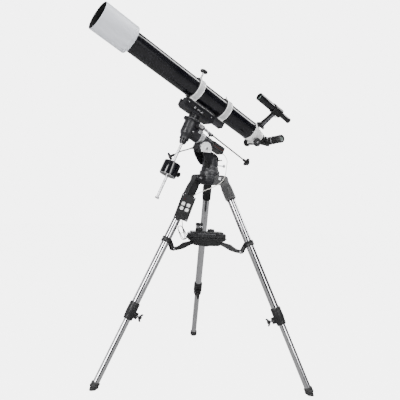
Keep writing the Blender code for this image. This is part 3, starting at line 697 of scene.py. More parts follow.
def colour(name, text, default):
    return bpy.props.FloatVectorProperty(name=name, description=text, default=default, size=3,
                                         min=0.0, max=1.0, subtype="COLOR")


class TelescopeSizes(bpy.types.PropertyGroup):
    """Sizes of the finished surfaces."""
    tube_radius: length("Tube radius", "Outer radius of the main tube", 0.0443)
    tube_wall: length("Tube wall", "Thickness of the main tube's wall", 0.0016)
    hood_radius: length("Hood radius", "Outer radius of the dew hood", 0.0593)
    ring_radius: length("Ring radius", "Outer radius of the tube rings", 0.0500)
    upper_tube: length("Upper leg tube", "Outer radius of a leg's upper tube", 0.0165)
    lower_tube: length("Lower leg tube", "Outer radius of a leg's lower tube", 0.0134)
    leg_width: length("Leg bracket width", "Width of a leg's top bracket", 0.038)
    arm_width: length("Arm width", "Thickness of a spreader arm", 0.012)
    weight_radius: length("Weight radius", "Outer radius of the counterweight", 0.037)
    motor_cable: length("Motor cable", "Diameter of the motor's cable", 0.0030)
    battery_cord: length("Battery cord", "Diameter of the battery cord", 0.0032)


class TelescopeLooks(bpy.types.PropertyGroup):
    """Colours of the finished surfaces."""
    tube_colour: colour("Tube", "Gloss enamel of the tube", (0.004, 0.004, 0.006))
    plastic_colour: colour("Plastic", "Black mouldings", (0.010, 0.010, 0.011))
    mount_colour: colour("Mount", "Paint of the mount's castings", (0.014, 0.014, 0.017))
    hood_colour: colour("Hood", "Satin of the dew hood", (0.62, 0.64, 0.69))
    casting_colour: colour("Rings", "White enamel of the rings and focuser", (0.86, 0.86, 0.86))
    band_colour: colour("Ring band", "Recessed band of the rings", (0.50, 0.50, 0.51))
    bar_colour: colour("Bar", "Anodised mounting bar", (0.16, 0.16, 0.17))


# -------------------------------------------------------- camera, cords, stage
class TELESCOPE_OT_camera(Build, bpy.types.Operator):
    """Places the camera at eye level, before the hand control's side"""
    bl_idname = "telescope.camera"
    bl_label = "Camera"

    def make(self, size):
        data = bpy.data.cameras.new("camera")
        data.lens = 41.09
        data.sensor_width = 36.0
        camera = bpy.data.objects.new("camera", data)
        bpy.context.scene.collection.objects.link(camera)
        back = -Vector((0.5954, 0.8034, -0.0039)).normalized()
        right = UP.cross(back).normalized()
        turn = Matrix((right, back.cross(right), back)).transposed()
        turn = turn @ Matrix.Rotation(0.0534, 3, "Z")
        camera.matrix_world = Matrix.Translation((-1.1326, -1.6097, 0.7644)) @ turn.to_4x4()
        bpy.context.scene.camera = camera


class TELESCOPE_OT_cords(Build, bpy.types.Operator):
    """Hangs the motor's cable and winds the battery cord into its tied hank"""
    bl_idname = "telescope.cords"
    bl_label = "Cords"

    def make(self, size):
        shift = np.array(tuple(STAND.translation))
        stops = shift + np.array([
            (0.0585, -0.012, 0.9705), (0.0640, -0.022, 0.9620), (0.0560, -0.050, 0.9380),
            (0.0300, -0.080, 0.9100), (0.0060, -0.105, 0.8750), (-0.0120, -0.113, 0.8470),
            (-0.0340, -0.108, 0.8270), (-0.0600, -0.096, 0.8100), (-0.0850, -0.080, 0.7970),
            (-0.1080, -0.064, 0.7830), (-0.1205, -0.0545, 0.7725)])
        path = smooth_route(stops, 0.003)
        cable = piece("motor_cable_jacket", [swept(path, size.motor_cable / 2, "cable_pale", 12)],
                      Matrix(), None, ["motor_cable"], bevel=0)
        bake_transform(cable)
        self.battery(size, shift)

    def battery(self, size, shift):
        place = Matrix.Translation(Vector(shift) + Vector((-0.1340, -0.0020, 0.6120)))
        place = place @ Matrix.Rotation(math.radians(-36.54), 4, "Z")
        place = place @ Matrix.Rotation(math.radians(-24), 4, "Y")
        fold, rise, turns, pitch = 0.0100, 0.0208, 2.5, 0.0037
        loop = [(fold, z) for z in np.linspace(rise, -rise, 9)[:-1]]
        loop += [(x, z) for x, z in arc(fold, 0, -180, 9, (0, -rise))[:-1]]
        loop += [(-fold, z) for z in np.linspace(-rise, rise, 9)[:-1]]
        loop += [(x, z) for x, z in arc(fold, 180, 0, 9, (0, rise))[:-1]]
        count = round(turns * len(loop)) - 4
        wound = []
        for i in range(count):
            fan = Matrix.Rotation(math.radians(18 * (i / len(loop) / turns - 0.5)), 4, "Y")
            x, z = loop[i % len(loop)]
            out = fan @ Vector((x, pitch * (i / len(loop) - turns / 2), z - 0.030))
            wound.append(place @ (out + Vector((0, 0, 0.030))))
        lead = [Vector(shift) + Vector(stop) for stop in (
            (-0.1535, -0.0255, 0.6655), (-0.1515, -0.0245, 0.6600), (-0.1480, -0.0220, 0.6520))]
        box_low, box_high = span("battery_box", TRAY)
        corner = TRAY @ Vector((box_low.x + 0.001, box_low.y + 0.016, box_low.z + 0.009))
        last = wound[-1]
        tail = [last.lerp(corner, 0.45) - Vector((0, 0, 0.003)), corner]
        path = smooth_route([tuple(stop) for stop in lead + wound + tail], 0.0025)
        path = smooth_route(eased(path, 2.2 * size.battery_cord), 0.0025)
        curve = bpy.data.curves.new("battery_cord_jacket", "CURVE")
        curve.dimensions = "3D"
        curve.bevel_depth = size.battery_cord / 2
        curve.bevel_resolution = 3
        curve.use_fill_caps = True
        spline = curve.splines.new("POLY")
        spline.points.add(len(path) - 1)
        spline.points.foreach_set("co", np.c_[path, np.ones(len(path))].ravel())
        curve.materials.append(finish_named("cable_black"))
        cord = bpy.data.objects.new("battery_cord_jacket", curve)
        bpy.context.scene.collection.objects.link(cord)
        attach(cord, "leg_left")
        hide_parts("battery_cord", "cord_hank")
        ring = [(0.0122 * math.cos(a), 0.0068 * math.sin(a), 0.0012 * math.sin(2 * a))
                for a in np.linspace(0, TAU, 33)]
        tie = piece("cord_tie", [swept(ring, 0.0009, "cable_pale", 8)], place, "leg_left",
                    bevel=0)


class TELESCOPE_OT_studio(Build, bpy.types.Operator):
    """Lays the pale floor and hangs the soft studio lights"""
    bl_idname = "telescope.studio"
    bl_label = "Studio"

    def make(self, size):
        mesh = bpy.data.meshes.new("studio_floor")
        mesh.from_pydata([(-9, -9, -0.0005), (9, -9, -0.0005), (9, 9, -0.0005), (-9, 9, -0.0005)],
                         [], [(0, 1, 2, 3)])
        floor = bpy.data.objects.new("studio_floor", mesh)
        bpy.context.scene.collection.objects.link(floor)
        paper = Finish("studio_paper")
        tone = paper.node("ShaderNodeTexNoise", Vector=paper.node(
            "ShaderNodeTexCoord", output=3), Scale=2.0)
        mesh.materials.append(paper.done(Base_Color=paper.tint(tone, (0.93,) * 3, (0.96,) * 3),
                                         Roughness=0.9 + tone * 0.05,
                                         Specular_IOR_Level=0.1))
        glow = paper.tree.nodes.new("ShaderNodeEmission")
        glow.inputs["Strength"].default_value = 6.0
        mix = paper.tree.nodes.new("ShaderNodeMixShader")
        camera_ray = paper.tree.nodes.new("ShaderNodeLightPath").outputs["Is Camera Ray"]
        put(paper.tree, Wire(paper.tree, camera_ray) * 0.9, mix.inputs[0])
        shine = paper.tree.nodes.new("ShaderNodeMixShader")
        dim = paper.tree.nodes.new("ShaderNodeEmission")
        dim.inputs["Strength"].default_value = 0.22
        glossy_ray = paper.tree.nodes.new("ShaderNodeLightPath").outputs["Is Glossy Ray"]
        put(paper.tree, Wire(paper.tree, glossy_ray) * 0.85, shine.inputs[0])
        paper.tree.links.new(paper.shader.outputs[0], shine.inputs[1])
        paper.tree.links.new(dim.outputs[0], shine.inputs[2])
        paper.tree.links.new(shine.outputs[0], mix.inputs[1])
        paper.tree.links.new(glow.outputs[0], mix.inputs[2])
        paper.tree.links.new(mix.outputs[0], paper.tree.nodes["Material Output"].inputs[0])
        self.world()
        target = Vector((0, 0, 0.85))
        for name, place, width, height, power in (
                ("key_left", (-3.0, -0.9, 2.0), 0.8, 2.6, 105), ("fill_front", (-0.4, -3.3, 1.9), 0.7, 2.4, 55),
                ("top", (0.0, -0.9, 3.4), 2.6, 0.6, 80), ("shine", (2.4, -0.6, 2.8), 0.75, 2.4, 60),
                ("rim_back", (1.6, 2.4, 1.8), 1.0, 2.4, 30)):
            data = bpy.data.lights.new(name, "AREA")
            data.shape = "RECTANGLE"
            data.size = width
            data.size_y = height
            data.energy = power
            light = bpy.data.objects.new(name, data)
            bpy.context.scene.collection.objects.link(light)
            light.matrix_world = toward(place, Vector(place) * 2 - target)

    def world(self):
        """White to the camera.  To everything else, bright walls near eye level with a dark
        gap ahead of the object and narrow ones at its sides, under a dim ceiling."""
        world = bpy.data.worlds.new("studio")
        bpy.context.scene.world = world
        world.use_nodes = True
        tree = world.node_tree
        room = tree.nodes["Background"]
        way = tree.nodes.new("ShaderNodeTexCoord").outputs["Generated"]
        turn = tree.nodes.new("ShaderNodeTexGradient")
        turn.gradient_type = "RADIAL"
        tree.links.new(way, turn.inputs[0])
        walls = tree.nodes.new("ShaderNodeValToRGB")
        stops = ((0.0, 0.9), (0.055, 0.9), (0.085, 0.02), (0.200, 0.02), (0.225, 0.85), (0.295, 0.85),
                 (0.315, 0.01), (0.455, 0.01), (0.475, 1.1), (0.905, 1.1), (0.920, 0.05),
                 (0.945, 0.05), (0.960, 0.9))
        ramp = walls.color_ramp.elements
        ramp[1].position = 1.0
        ramp[1].color = (0.9, 0.9, 0.9, 1)
        for at, tone in stops[1:]:
            ramp.new(at).color = (tone, tone, tone * 1.02, 1)
        ramp[0].color = (0.9, 0.9, 0.9, 1)
        tree.links.new(turn.outputs[0], walls.inputs[0])
        parts = tree.nodes.new("ShaderNodeSeparateXYZ")
        tree.links.new(way, parts.inputs[0])
        ceiling = tree.nodes.new("ShaderNodeMapRange")
        ceiling.inputs["From Min"].default_value = 0.30
        ceiling.inputs["From Max"].default_value = 0.55
        ceiling.inputs["To Min"].default_value = 1.0
        ceiling.inputs["To Max"].default_value = 0.08
        tree.links.new(parts.outputs[2], ceiling.inputs[0])
        tree.links.new(walls.outputs[0], room.inputs["Color"])
        tree.links.new(ceiling.outputs[0], room.inputs["Strength"])
        backdrop = tree.nodes.new("ShaderNodeBackground")
        backdrop.inputs["Color"].default_value = (1, 1, 1, 1)
        backdrop.inputs["Strength"].default_value = 5.5
        camera_ray = tree.nodes.new("ShaderNodeLightPath").outputs["Is Camera Ray"]
        mix = tree.nodes.new("ShaderNodeMixShader")
        tree.links.new(camera_ray, mix.inputs[0])
        tree.links.new(room.outputs[0], mix.inputs[1])
        tree.links.new(backdrop.outputs[0], mix.inputs[2])
        tree.links.new(mix.outputs[0], tree.nodes["World Output"].inputs["Surface"])


# --------------------------------------------------------------------- tripod
class TELESCOPE_OT_tripod_head(Build, bpy.types.Operator):
    """Turns the hub and sets a pair of ears and a bolt on it for each leg"""
    bl_idname = "telescope.tripod_head"
    bl_label = "Tripod head"

    def make(self, size):
        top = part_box("tripod_head")[1][2]
        shapes = [lathe([(0, top - 0.0455), (0.030, top - 0.0455), (0.036, top - 0.0435),
                         (0.0455, top - 0.030), (0.0465, top - 0.028), (0.0465, top - 0.0125),
                         (0.0452, top - 0.0115), (0.0452, top - 0.0095), (0.0465, top - 0.0085),
                         (0.044, top - 0.0005), (0, top - 0.0005)], "mount_paint", 96)]
        edge = size.leg_width / 2 + 0.001
        for name in LEGS:
            out = axis_of(f"leg_{name}_fold").cross(UP)
            place = axes(point_of(f"leg_{name}_fold"), UP, out)
            ear = [(-0.034, 0.0135), (-0.006, 0.0138)] + arc(0.0162, 84, -60, 12)
            ear += [(-0.010, -0.0225), (-0.034, -0.0265)]
            for hand in (-1, 1):
                low, high = sorted((hand * edge, hand * (edge + 0.007)))
                shapes.append(plate(ear, low, high, "mount_gloss").moved(place))
                rim = plate(arc(0.0125, 0, 348, 30), *sorted((hand * (edge + 0.006),
                                                              hand * (edge + 0.0082))), "mount_gloss")
                shapes.append(rim.moved(place))
                shapes.append(bolt((0, hand * (edge + 0.008), 0), (0, hand, 0), 0.0068, 0.0042,
                                   "steel", 6 if hand > 0 else 0).moved(place))
            rib = plate([(-0.034, 0.010), (-0.018, 0.006), (-0.020, -0.018), (-0.034, -0.024)],
                        -0.004, 0.004, "mount_paint")
            shapes.append(rib.moved(place))
        inverse = STAND.inverted()
        shapes = [shapes[0]] + [shape.moved(inverse) for shape in shapes[1:]]
        piece("tripod_head_casting", shapes, STAND, "stand",
              ["tripod_head"], bevel=0.0010)


def grounded(shape, place):
    """The shape with everything under the floor drawn up its own Z to the floor."""
    turn = np.array(place)
    high = shape.points @ turn[2, :3] + turn[2, 3]
    shape.points[:, 2] += np.where(high < 0, -high / turn[2, 2], 0.0)
    return shape


class TELESCOPE_OT_legs(Build, bpy.types.Operator):
    """Makes the three telescoping legs with their brackets, clamps and rubber boots"""
    bl_idname = "telescope.legs"
    bl_label = "Legs"

    def make(self, size):
        for name in LEGS:
            self.leg(size, name, LEG[name])

    def leg(self, size, name, place):
        body, half = f"leg_{name}", size.leg_width / 2
        outline = arc(0.0172, 200, -20, 18) + [(0.0165, -0.030), (0.0192, -0.046),
                                               (0.0192, -0.094), (0.0165, -0.0985),
                                               (-0.0155, -0.0985), (-0.0175, -0.094),
                                               (-0.0175, -0.046), (-0.0150, -0.030)]
        shapes = [plate(outline, -half, half, "gloss_plastic")]
        for hand in (-1, 1):
            shapes.append(plate(arc(0.0128, 0, 348, 30), *sorted((hand * half, hand * (half + 0.0006))),
                                "moulded_black"))
            shapes.append(slab((0.001, hand * half, -0.062), (0.020, 0.0016, 0.052), "moulded_black"))
        shapes.append(slab((0.0193, 0, -0.062), (0.0016, 0.026, 0.056), "moulded_black"))
        shapes.append(slab((0.0200, 0, -0.062), (0.0016, 0.005, 0.050), "gloss_plastic"))
        shapes.append(bolt((0.019, 0.0, -0.0915), (1, 0, 0), 0.0030, 0.0018, "steel"))
        shapes.append(pipe(0.0185, size.upper_tube + 0.0004, -0.1035, -0.096, "moulded_black"))
        piece(f"leg_bracket_{name}_moulding", shapes, place, body,
              [f"leg_bracket_{name}"], bevel=0.0022)
        tube = pipe(size.upper_tube, 0.0142, -0.652, -0.060, "chrome", "inner_black", 96)
        piece(f"upper_tube_{name}_chrome", [tube], place, body, [f"upper_tube_{name}"],
              bevel=0.0003)
        self.clamp(size, name, place, body)
        self.collar(size, name, place, body)
        bottom = span(f"lower_leg_{name}", place)[0].z
        lower = [pipe(size.lower_tube, 0.0118, -0.9300, -0.360, "chrome", "inner_black", 96)]
        boot = lathe([(0.0118, -0.925), (0.0165, -0.925), (0.0175, -0.928), (0.0175, -0.9335),
                      (0.0166, -0.9350), (0.0166, -0.9370), (0.0183, -0.9385), (0.0183, -0.944),
                      (0.0158, -0.948), (0.0128, bottom + 0.020), (0.0140, bottom + 0.017),
                      (0.0136, bottom + 0.008), (0.0118, bottom - 0.006), (0, bottom - 0.006),
                      (0, -0.9290), (0.0118, -0.9290)], "boot_rubber", 64, loop=True)
        piece(f"lower_leg_{name}_chrome", lower + [grounded(boot, place)], place,
              f"lower_leg_{name}", [f"lower_leg_{name}"], bevel=0.0004)

    def clamp(self, size, name, place, body):
        bore = size.lower_tube + 0.0006
        shapes = [lathe([(bore, -0.602), (0.0168, -0.602), (0.0168, -0.590), (0.0195, -0.590),
                         (0.0215, -0.596), (0.0215, -0.602), (0.0206, -0.603), (0.0206, -0.606),
                         (0.0215, -0.607), (0.0215, -0.640), (0.0203, -0.642), (0.0203, -0.650),
                         (0.0185, -0.664), (bore, -0.664)], "moulded_black", 72, loop=True)]
        low, high = span(f"clamp_knob_{name}", place)
        middle = (low.z + high.z) / 2
        shapes.append(slab((-0.0225, 0, middle), (0.020, 0.022, 0.027), "moulded_black"))
        shapes.append(slab((-0.0225, 0, middle), (0.014, 0.024, 0.020), "gloss_plastic"))
        for turn in (60, 180 - 60, -60, -120):
            a = math.radians(turn)
            shapes.append(slab((0.0208 * math.cos(a), 0.0208 * math.sin(a), -0.6235),
                               (0.003, 0.004, 0.030), "moulded_black", turn))
        shapes.append(rod((-0.026, -0.0135, middle), (-0.026, 0.0135, middle), 0.0022, "steel"))
        piece(f"leg_clamp_{name}_moulding", shapes, place, body,
              [f"leg_clamp_{name}"], bevel=0.0006)
        knob = knob_place(f"clamp_knob_{name}_turn")
        low, high = span(f"clamp_knob_{name}", knob)
        wide = (high - low).x > (high - low).y
        wing = []
        for x, z in ((1, 1), (-1, -1)):
            wing.append((0.0160 * x, high.z - 0.002))
        blade = [(-0.0165, high.z), (-0.0120, high.z + 0.0), (-0.006, high.z - 0.0055),
                 (0.006, high.z - 0.0055), (0.0120, high.z), (0.0165, high.z),
                 (0.0170, high.z - 0.004), (0.0110, high.z - 0.0105), (-0.0110, high.z - 0.0105),
                 (-0.0170, high.z - 0.004)]
        turned = Matrix() if wide else Matrix.Rotation(math.pi / 2, 4, "Z")
        shapes = [plate(blade, -0.0042, 0.0042, "moulded_black").moved(turned),
                  lathe([(0, low.z), (0.0045, low.z), (0.0045, low.z + 0.009),
                         (0.0078, low.z + 0.0105), (0.0078, high.z - 0.0035),
                         (0.0060, high.z - 0.002), (0, high.z - 0.002)], "moulded_black", 32,
                        bands={0: "steel", 1: "steel"})]
        piece(f"clamp_knob_{name}_moulding", shapes, knob, f"clamp_knob_{name}",
              [f"clamp_knob_{name}"], bevel=0.0008)

    def collar(self, size, name, place, body):
        pivot = place.inverted() @ point_of(f"arm_{name}_fold")
        middle = pivot.z + 0.020
        bore = size.upper_tube + 0.0004
        shapes = [lathe([(bore, middle - 0.011), (0.0205, middle - 0.011), (0.0215, middle - 0.010),
                         (0.0215, middle - 0.004), (0.0208, middle - 0.003),
                         (0.0208, middle + 0.003), (0.0215, middle + 0.004),
                         (0.0215, middle + 0.010), (0.0205, middle + 0.011),
                         (bore, middle + 0.011)], "moulded_black", 72, loop=True)]
        cheek = [(-0.0195, middle + 0.009), (-0.0195, middle - 0.009),
                 (pivot.x + 0.002, pivot.z - 0.0078)] + arc(0.0078, 270, 100, 9, (pivot.x, pivot.z))
        edge = size.arm_width / 2 + 0.0008
        for hand in (-1, 1):
            low, high = sorted((hand * edge, hand * 2 * (edge - 0.001)))
            shapes.append(plate(cheek, low, high, "moulded_black"))
            shapes.append(bolt((pivot.x, hand * 2 * (edge - 0.001), pivot.z), (0, hand, 0),
                               0.0050, 0.0030, "steel", 6 if hand < 0 else 0))
        shapes.append(bolt((0.0210, 0, middle), (1, 0, 0), 0.0028, 0.0014, "steel"))
        piece(f"spreader_collar_{name}_moulding", shapes, place, body,
              [f"spreader_collar_{name}"], bevel=0.0007)


class TELESCOPE_OT_spreader(Build, bpy.types.Operator):
    """Makes the three folding arms, the tray on them and the battery box on the tray"""
    bl_idname = "telescope.spreader"
    bl_label = "Spreader"

    def make(self, size):
        for name in LEGS:
            self.arm(size, name)
        low, high = span("spreader_tray", TRAY)
        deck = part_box("spreader_tray")[1][2]
        self.tray(size, deck)
        self.battery_box()

    def arm(self, size, name):
        place = ARM[name]
        low, high = span(f"spreader_arm_{name}", place)
        reach, rise = low.x + 0.006, 0.033
        outline = ([(0.0060, 0.003), (0.0020, 0.007)]
                   + [(-0.012 - 0.040 * t, 0.0085 + 0.0185 * t ** 1.6) for t in np.linspace(0, 1, 8)]
                   + [(reach + 0.004, rise + 0.006)] + arc(0.0062, 90, 270, 7, (reach, rise - 0.0005))
                   + [(reach + 0.014, rise - 0.0085)]
                   + [(-0.060 + 0.040 * t, 0.0035 - 0.0095 * t ** 0.7) for t in np.linspace(0, 1, 7)]
                   + [(0.003, -0.006)])
        half = size.arm_width / 2
        inner = [(x * 0.90 - 0.006, z * 0.72 + 0.0035) for x, z in outline]
        shapes = [plate(outline, -half + 0.0012, half - 0.0012, "gloss_plastic")]
        shapes += [rod((0, -half, 0), (0, half, 0), 0.0066, "gloss_plastic", 32),
                   rod((reach, -half, rise), (reach, half, rise), 0.0062, "gloss_plastic", 32)]
        for hand in (-1, 1):
            shapes.append(plate(inner, *sorted((hand * (half - 0.0014), hand * (half - 0.0006))),
                                "moulded_black"))
        piece(f"spreader_arm_{name}_moulding", shapes, place, f"spreader_arm_{name}",
              [f"spreader_arm_{name}"], bevel=0.0008)

    def tray(self, size, deck):
        low, high = span("spreader_tray", TRAY)
        width, front = 0.176, -0.048
        shapes = [prism(rounded(width, 0.096, 0.008), deck - 0.005, deck - 0.001, "moulded_black"),
                  disc(0.022, 0.553, deck - 0.003, "moulded_black", 48),
                  lathe([(0, 0.549), (0.010, 0.549), (0.012, 0.551), (0.012, 0.5535), (0, 0.5535)],
                        "steel", 6)]
        skirt = [(-0.0585, deck - 0.004)] + [(0.0585 * math.sin(a), deck - 0.031 - 0.0035 * math.cos(a))
                                              for a in np.linspace(-1.5, 1.5, 13)]
        skirt += [(0.0585, deck - 0.004)]
        shapes.append(plate(skirt, front, front + 0.004, "gloss_plastic"))
        for i in range(5):
            shapes.append(slab((0.022 * (i - 2), front + 0.0005, deck - 0.018), (0.0016, 0.002, 0.022),
                               "moulded_black"))
        for name in LEGS:
            out = TRAY.inverted().to_3x3() @ axis_of(f"leg_{name}_fold").cross(UP)
            place = axes(Vector((0, 0, deck - 0.005)), UP, out)
            ear = [(0.016, -0.001), (0.016, -0.030), (0.038, -0.030)]
            ear += [(x + 0.0505, z - 0.0155) for x, z in arc(0.0125, 240, 360, 9)]
            ear += [(0.090, -0.006), (0.090, -0.001)]
            for hand in (-1, 1):
                edge = size.arm_width / 2
                shapes.append(plate(ear, *sorted((hand * (edge + 0.001), hand * (edge + 0.005))),
                                    "moulded_black").moved(place))
                head = bolt((0.0500, hand * (edge + 0.005), -0.011), (0, hand, 0), 0.0042, 0.0024,
                            "steel", 6)
                shapes.append(head.moved(place))
        piece("spreader_tray_moulding", shapes, TRAY, "tray", ["spreader_tray"],
              bevel=0.0008)

    def battery_box(self):
        low, high = span("battery_box", TRAY)
        width, depth = high.x - low.x, high.y - low.y
        middle = Vector(((low.x + high.x) / 2, (low.y + high.y) / 2, 0))
        place = TRAY @ Matrix.Translation(middle)
        base = prism(rounded(width, depth, 0.010), low.z, low.z + 0.0165, "moulded_black")
        rim = prism(rounded(width - 0.004, depth - 0.004, 0.009), low.z + 0.0160, low.z + 0.0190,
                    "moulded_grey")
        lid = prism(rounded(width - 0.024, depth - 0.010, 0.012), low.z + 0.0185, high.z - 0.0012,
                    "moulded_black")
        shapes = [base, rim, lid]
        shapes.append(prism(rounded(width - 0.060, depth - 0.034, 0.010), high.z - 0.0015, high.z,
                            "moulded_black"))
        for i in range(9):
            x = (i - 4) * (width - 0.030) / 8
            for hand in (-1, 1):
                shapes.append(disc(0.0052, low.z + 0.001, low.z + 0.0155, "moulded_black", 24).moved(
                    Matrix.Translation((x, hand * (depth / 2 - 0.0032), 0))))
        for x in (-0.048, 0.048):
            shapes.append(slab((x, -depth / 2 + 0.0004, low.z + 0.0165), (0.016, 0.0022, 0.010),
                               "gloss_plastic"))
        piece("battery_box_case", shapes, place, "tray", ["battery_box"], bevel=0.0011)
        top = high.z
        spare = Matrix.Translation((-0.034, -0.002, top))
        eyepiece = lathe([(0, 0), (0.0158, 0), (0.0166, 0.0012), (0.0166, 0.0095), (0.0150, 0.0110),
                          (0.0150, 0.0150), (0.0156, 0.0155), (0.0156, 0.0200), (0.0150, 0.0205),
                          (0.0150, 0.0235), (0.0166, 0.0250), (0.0168, 0.0340), (0.0158, 0.0362),
                          (0.0110, 0.0364), (0.0085, 0.0345), (0, 0.0340)], "moulded_black", 96,
                         bands={6: "chrome", 7: "chrome", 8: "chrome", 14: "lens_glass"},
                         lobes=(32, 0.0006, 0.0160))
        piece("spare_eyepiece", [eyepiece], place @ spare, "tray", bevel=0.0003)
        cap = lathe([(0, 0), (0.0150, 0), (0.0160, 0.0008), (0.0160, 0.0085), (0.0150, 0.0100),
                     (0.0060, 0.0100), (0.0050, 0.0112), (0, 0.0112)], "moulded_black", 96,
                    lobes=(40, 0.0005, 0.0155))
        piece("dust_cap", [cap], place @ Matrix.Translation((0.020, 0.006, top)), "tray",
              bevel=0.0003)


# ---------------------------------------------------------------------- mount
class TELESCOPE_OT_azimuth(Build, bpy.types.Operator):
    """Makes the turning base, its two ears, the latitude scale and the push bolts"""
    bl_idname = "telescope.azimuth"
    bl_label = "Azimuth base"

    def make(self, size):
        pivot = STAND.inverted() @ point_of("latitude_tilt")
        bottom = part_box("azimuth_base")[0][2]
        x, z = pivot.x, pivot.z
        column = lathe([(0, bottom), (0.0450, bottom), (0.0450, bottom + 0.011),
                        (0.0440, bottom + 0.0125), (0.0440, bottom + 0.0140),
                        (0.0400, 0.8905), (0.0392, 0.8925), (0.0380, 0.8980), (0.0385, 0.8990),
                        (0.0368, 0.9060), (0.0358, 0.9070), (0.0354, 0.9200), (0.0362, 0.9210),
                        (0.0352, 0.9400), (0.0330, 0.9490), (0.0310, 0.9565), (0, 0.9570)],
                       "mount_paint", 96)
        ear = [(-0.030, 0.915), (0.020, 0.915), (0.021, 0.948), (0.008, 0.960), (-0.022, 0.9715)]
        ear += arc(0.0215, -25, 200, 20, (x, z)) + [(-0.0655, 0.957), (-0.046, 0.930)]
        inner, outer = 0.0270, 0.0330
        shapes = [column]
        for hand in (-1, 1):
            shapes.append(plate(ear, *sorted((hand * inner, hand * outer)), "mount_gloss"))
        web = [(-0.030, 0.935), (0.020, 0.935), (0.021, 0.948), (0.008, 0.9565), (-0.020, 0.9565)]
        shapes.append(plate(web, -inner, inner, "mount_paint"))
        shapes.append(slab((-0.0300, -0.0190, 0.916), (0.016, 0.020, 0.030), "inner_black", 35))
        shapes.append(slab((0.0355, 0.0, 0.9400), (0.006, 0.016, 0.016), "mount_gloss"))
        shapes.append(slab((0.0360, 0.0, 0.9165), (0.006, 0.014, 0.012), "mount_gloss"))
        hook = arc(0.0085, 60, 330, 14, (x - 0.0265, z - 0.010))
        path = [(px, -outer + 0.001, pz) for px, pz in hook]
        shapes.append(swept(path, 0.0028, "mount_gloss", 12))
        shapes += self.scale(x, z, -outer)
        cap = [(0, 0), (0.0115, 0), (0.0115, 0.0055), (0.0095, 0.0085), (0, 0.0090)]
        shapes.append(lathe(cap, "mount_gloss", 40).moved(
            toward((x, outer - 0.001, z), (x, outer + 1, z))))
        shapes.append(bolt((x, outer + 0.0075, z), (0, 1, 0), 0.0055, 0.002, "steel", 6))
        piece("azimuth_casting", shapes, STAND, "azimuth",
              ["azimuth_base"], bevel=0.0009)
        self.bolts()

    def scale(self, x, z, y):
        """The half-round latitude plate: ticks every five degrees, longer every fifteen."""
        flat = -0.0165
        start = math.degrees(math.asin(flat / 0.0292))
        rim = arc(0.0292, start, 180 - start, 48, (x, z))
        shapes = [plate(rim, y - 0.0028, y, "scale_white")]
        for i in range(-4, 41):
            a = math.radians(5 * i)
            reach = 0.0285 if i % 3 else 0.0275
            if reach * math.sin(a) < flat + 0.001:
                continue
            inner = 0.0262 if i % 3 else 0.0240
            middle = (inner + 0.0284) / 2
            tick = slab((0, 0, 0), (0.0284 - inner, 0.00035, 0.0004), "scale_mark")
            tick = tick.moved(Matrix.Translation((x + middle * math.cos(a), y - 0.0029,
                                                  z + middle * math.sin(a)))
                              @ Matrix.Rotation(-a, 4, "Y"))
            shapes.append(tick)
        shapes.append(plate([(px, pz) for px, pz in arc(0.0098, 0, 345, 24, (x, z))],
                            y - 0.0040, y, "scale_white"))
        shapes.append(bolt((x, y - 0.0038, z), MINUS_Y, 0.0058, 0.0036, "steel", 6))
        shapes.append(bolt((x, y - 0.0070, z), MINUS_Y, 0.0028, 0.0012, "steel"))
        return shapes

    def bolts(self):
        place = knob_place("latitude_bolt_turn")
        low, high = span("latitude_bolt", place)
        screw = [(0, low.z), (0.0034, low.z)]
        for i in range(6):
            start = low.z + 0.002 + 0.0022 * i
            screw += [(0.0036, start), (0.0030, start + 0.0011)]
        screw += [(0.0036, high.z - 0.002), (0, high.z - 0.001)]
        handle = (high - low)
        along_x = handle.x > handle.y
        tip = Vector((0.0150, 0, 0)) if along_x else Vector((0, 0.0150, 0))
        bar = Vector((0, 0, 0.016))
        shapes = [lathe(screw, "mount_gloss", 24), rod(bar - tip, bar + tip, 0.0026, "mount_gloss", 24)]
        for end in (bar - tip, bar + tip):
            shapes.append(rod(end * 0.999 - (end - bar) * 0.12, end, 0.0036, "moulded_black", 24))
        piece("latitude_bolt_screw", shapes, place, "latitude_bolt",
              ["latitude_bolt"], bevel=0.0003)
        place = knob_place("azimuth_bolt_turn")
        low, high = span("azimuth_bolt", place)
        screw = [(0, low.z), (0.0030, low.z)]
        for i in range(15):
            start = low.z + 0.002 + 0.0024 * i
            screw += [(0.0030, start), (0.0025, start + 0.0012)]
        screw += [(0.0030, high.z - 0.008), (0.0030, high.z - 0.0055), (0, high.z - 0.0055)]
        head = lathe([(0, high.z - 0.0060), (0.0068, high.z - 0.0060), (0.0075, high.z - 0.0050),
                      (0.0075, high.z - 0.0012), (0.0066, high.z), (0, high.z)], "chrome", 72,
                     lobes=(24, 0.0005, 0.0070))
        piece("azimuth_bolt_screw", [lathe(screw, "chrome", 24), head], place, "azimuth_bolt",
              ["azimuth_bolt"], bevel=0.0002)


ALONG_X = Matrix.Rotation(math.pi / 2, 4, "Y")       # a turned shape's axis laid along +X


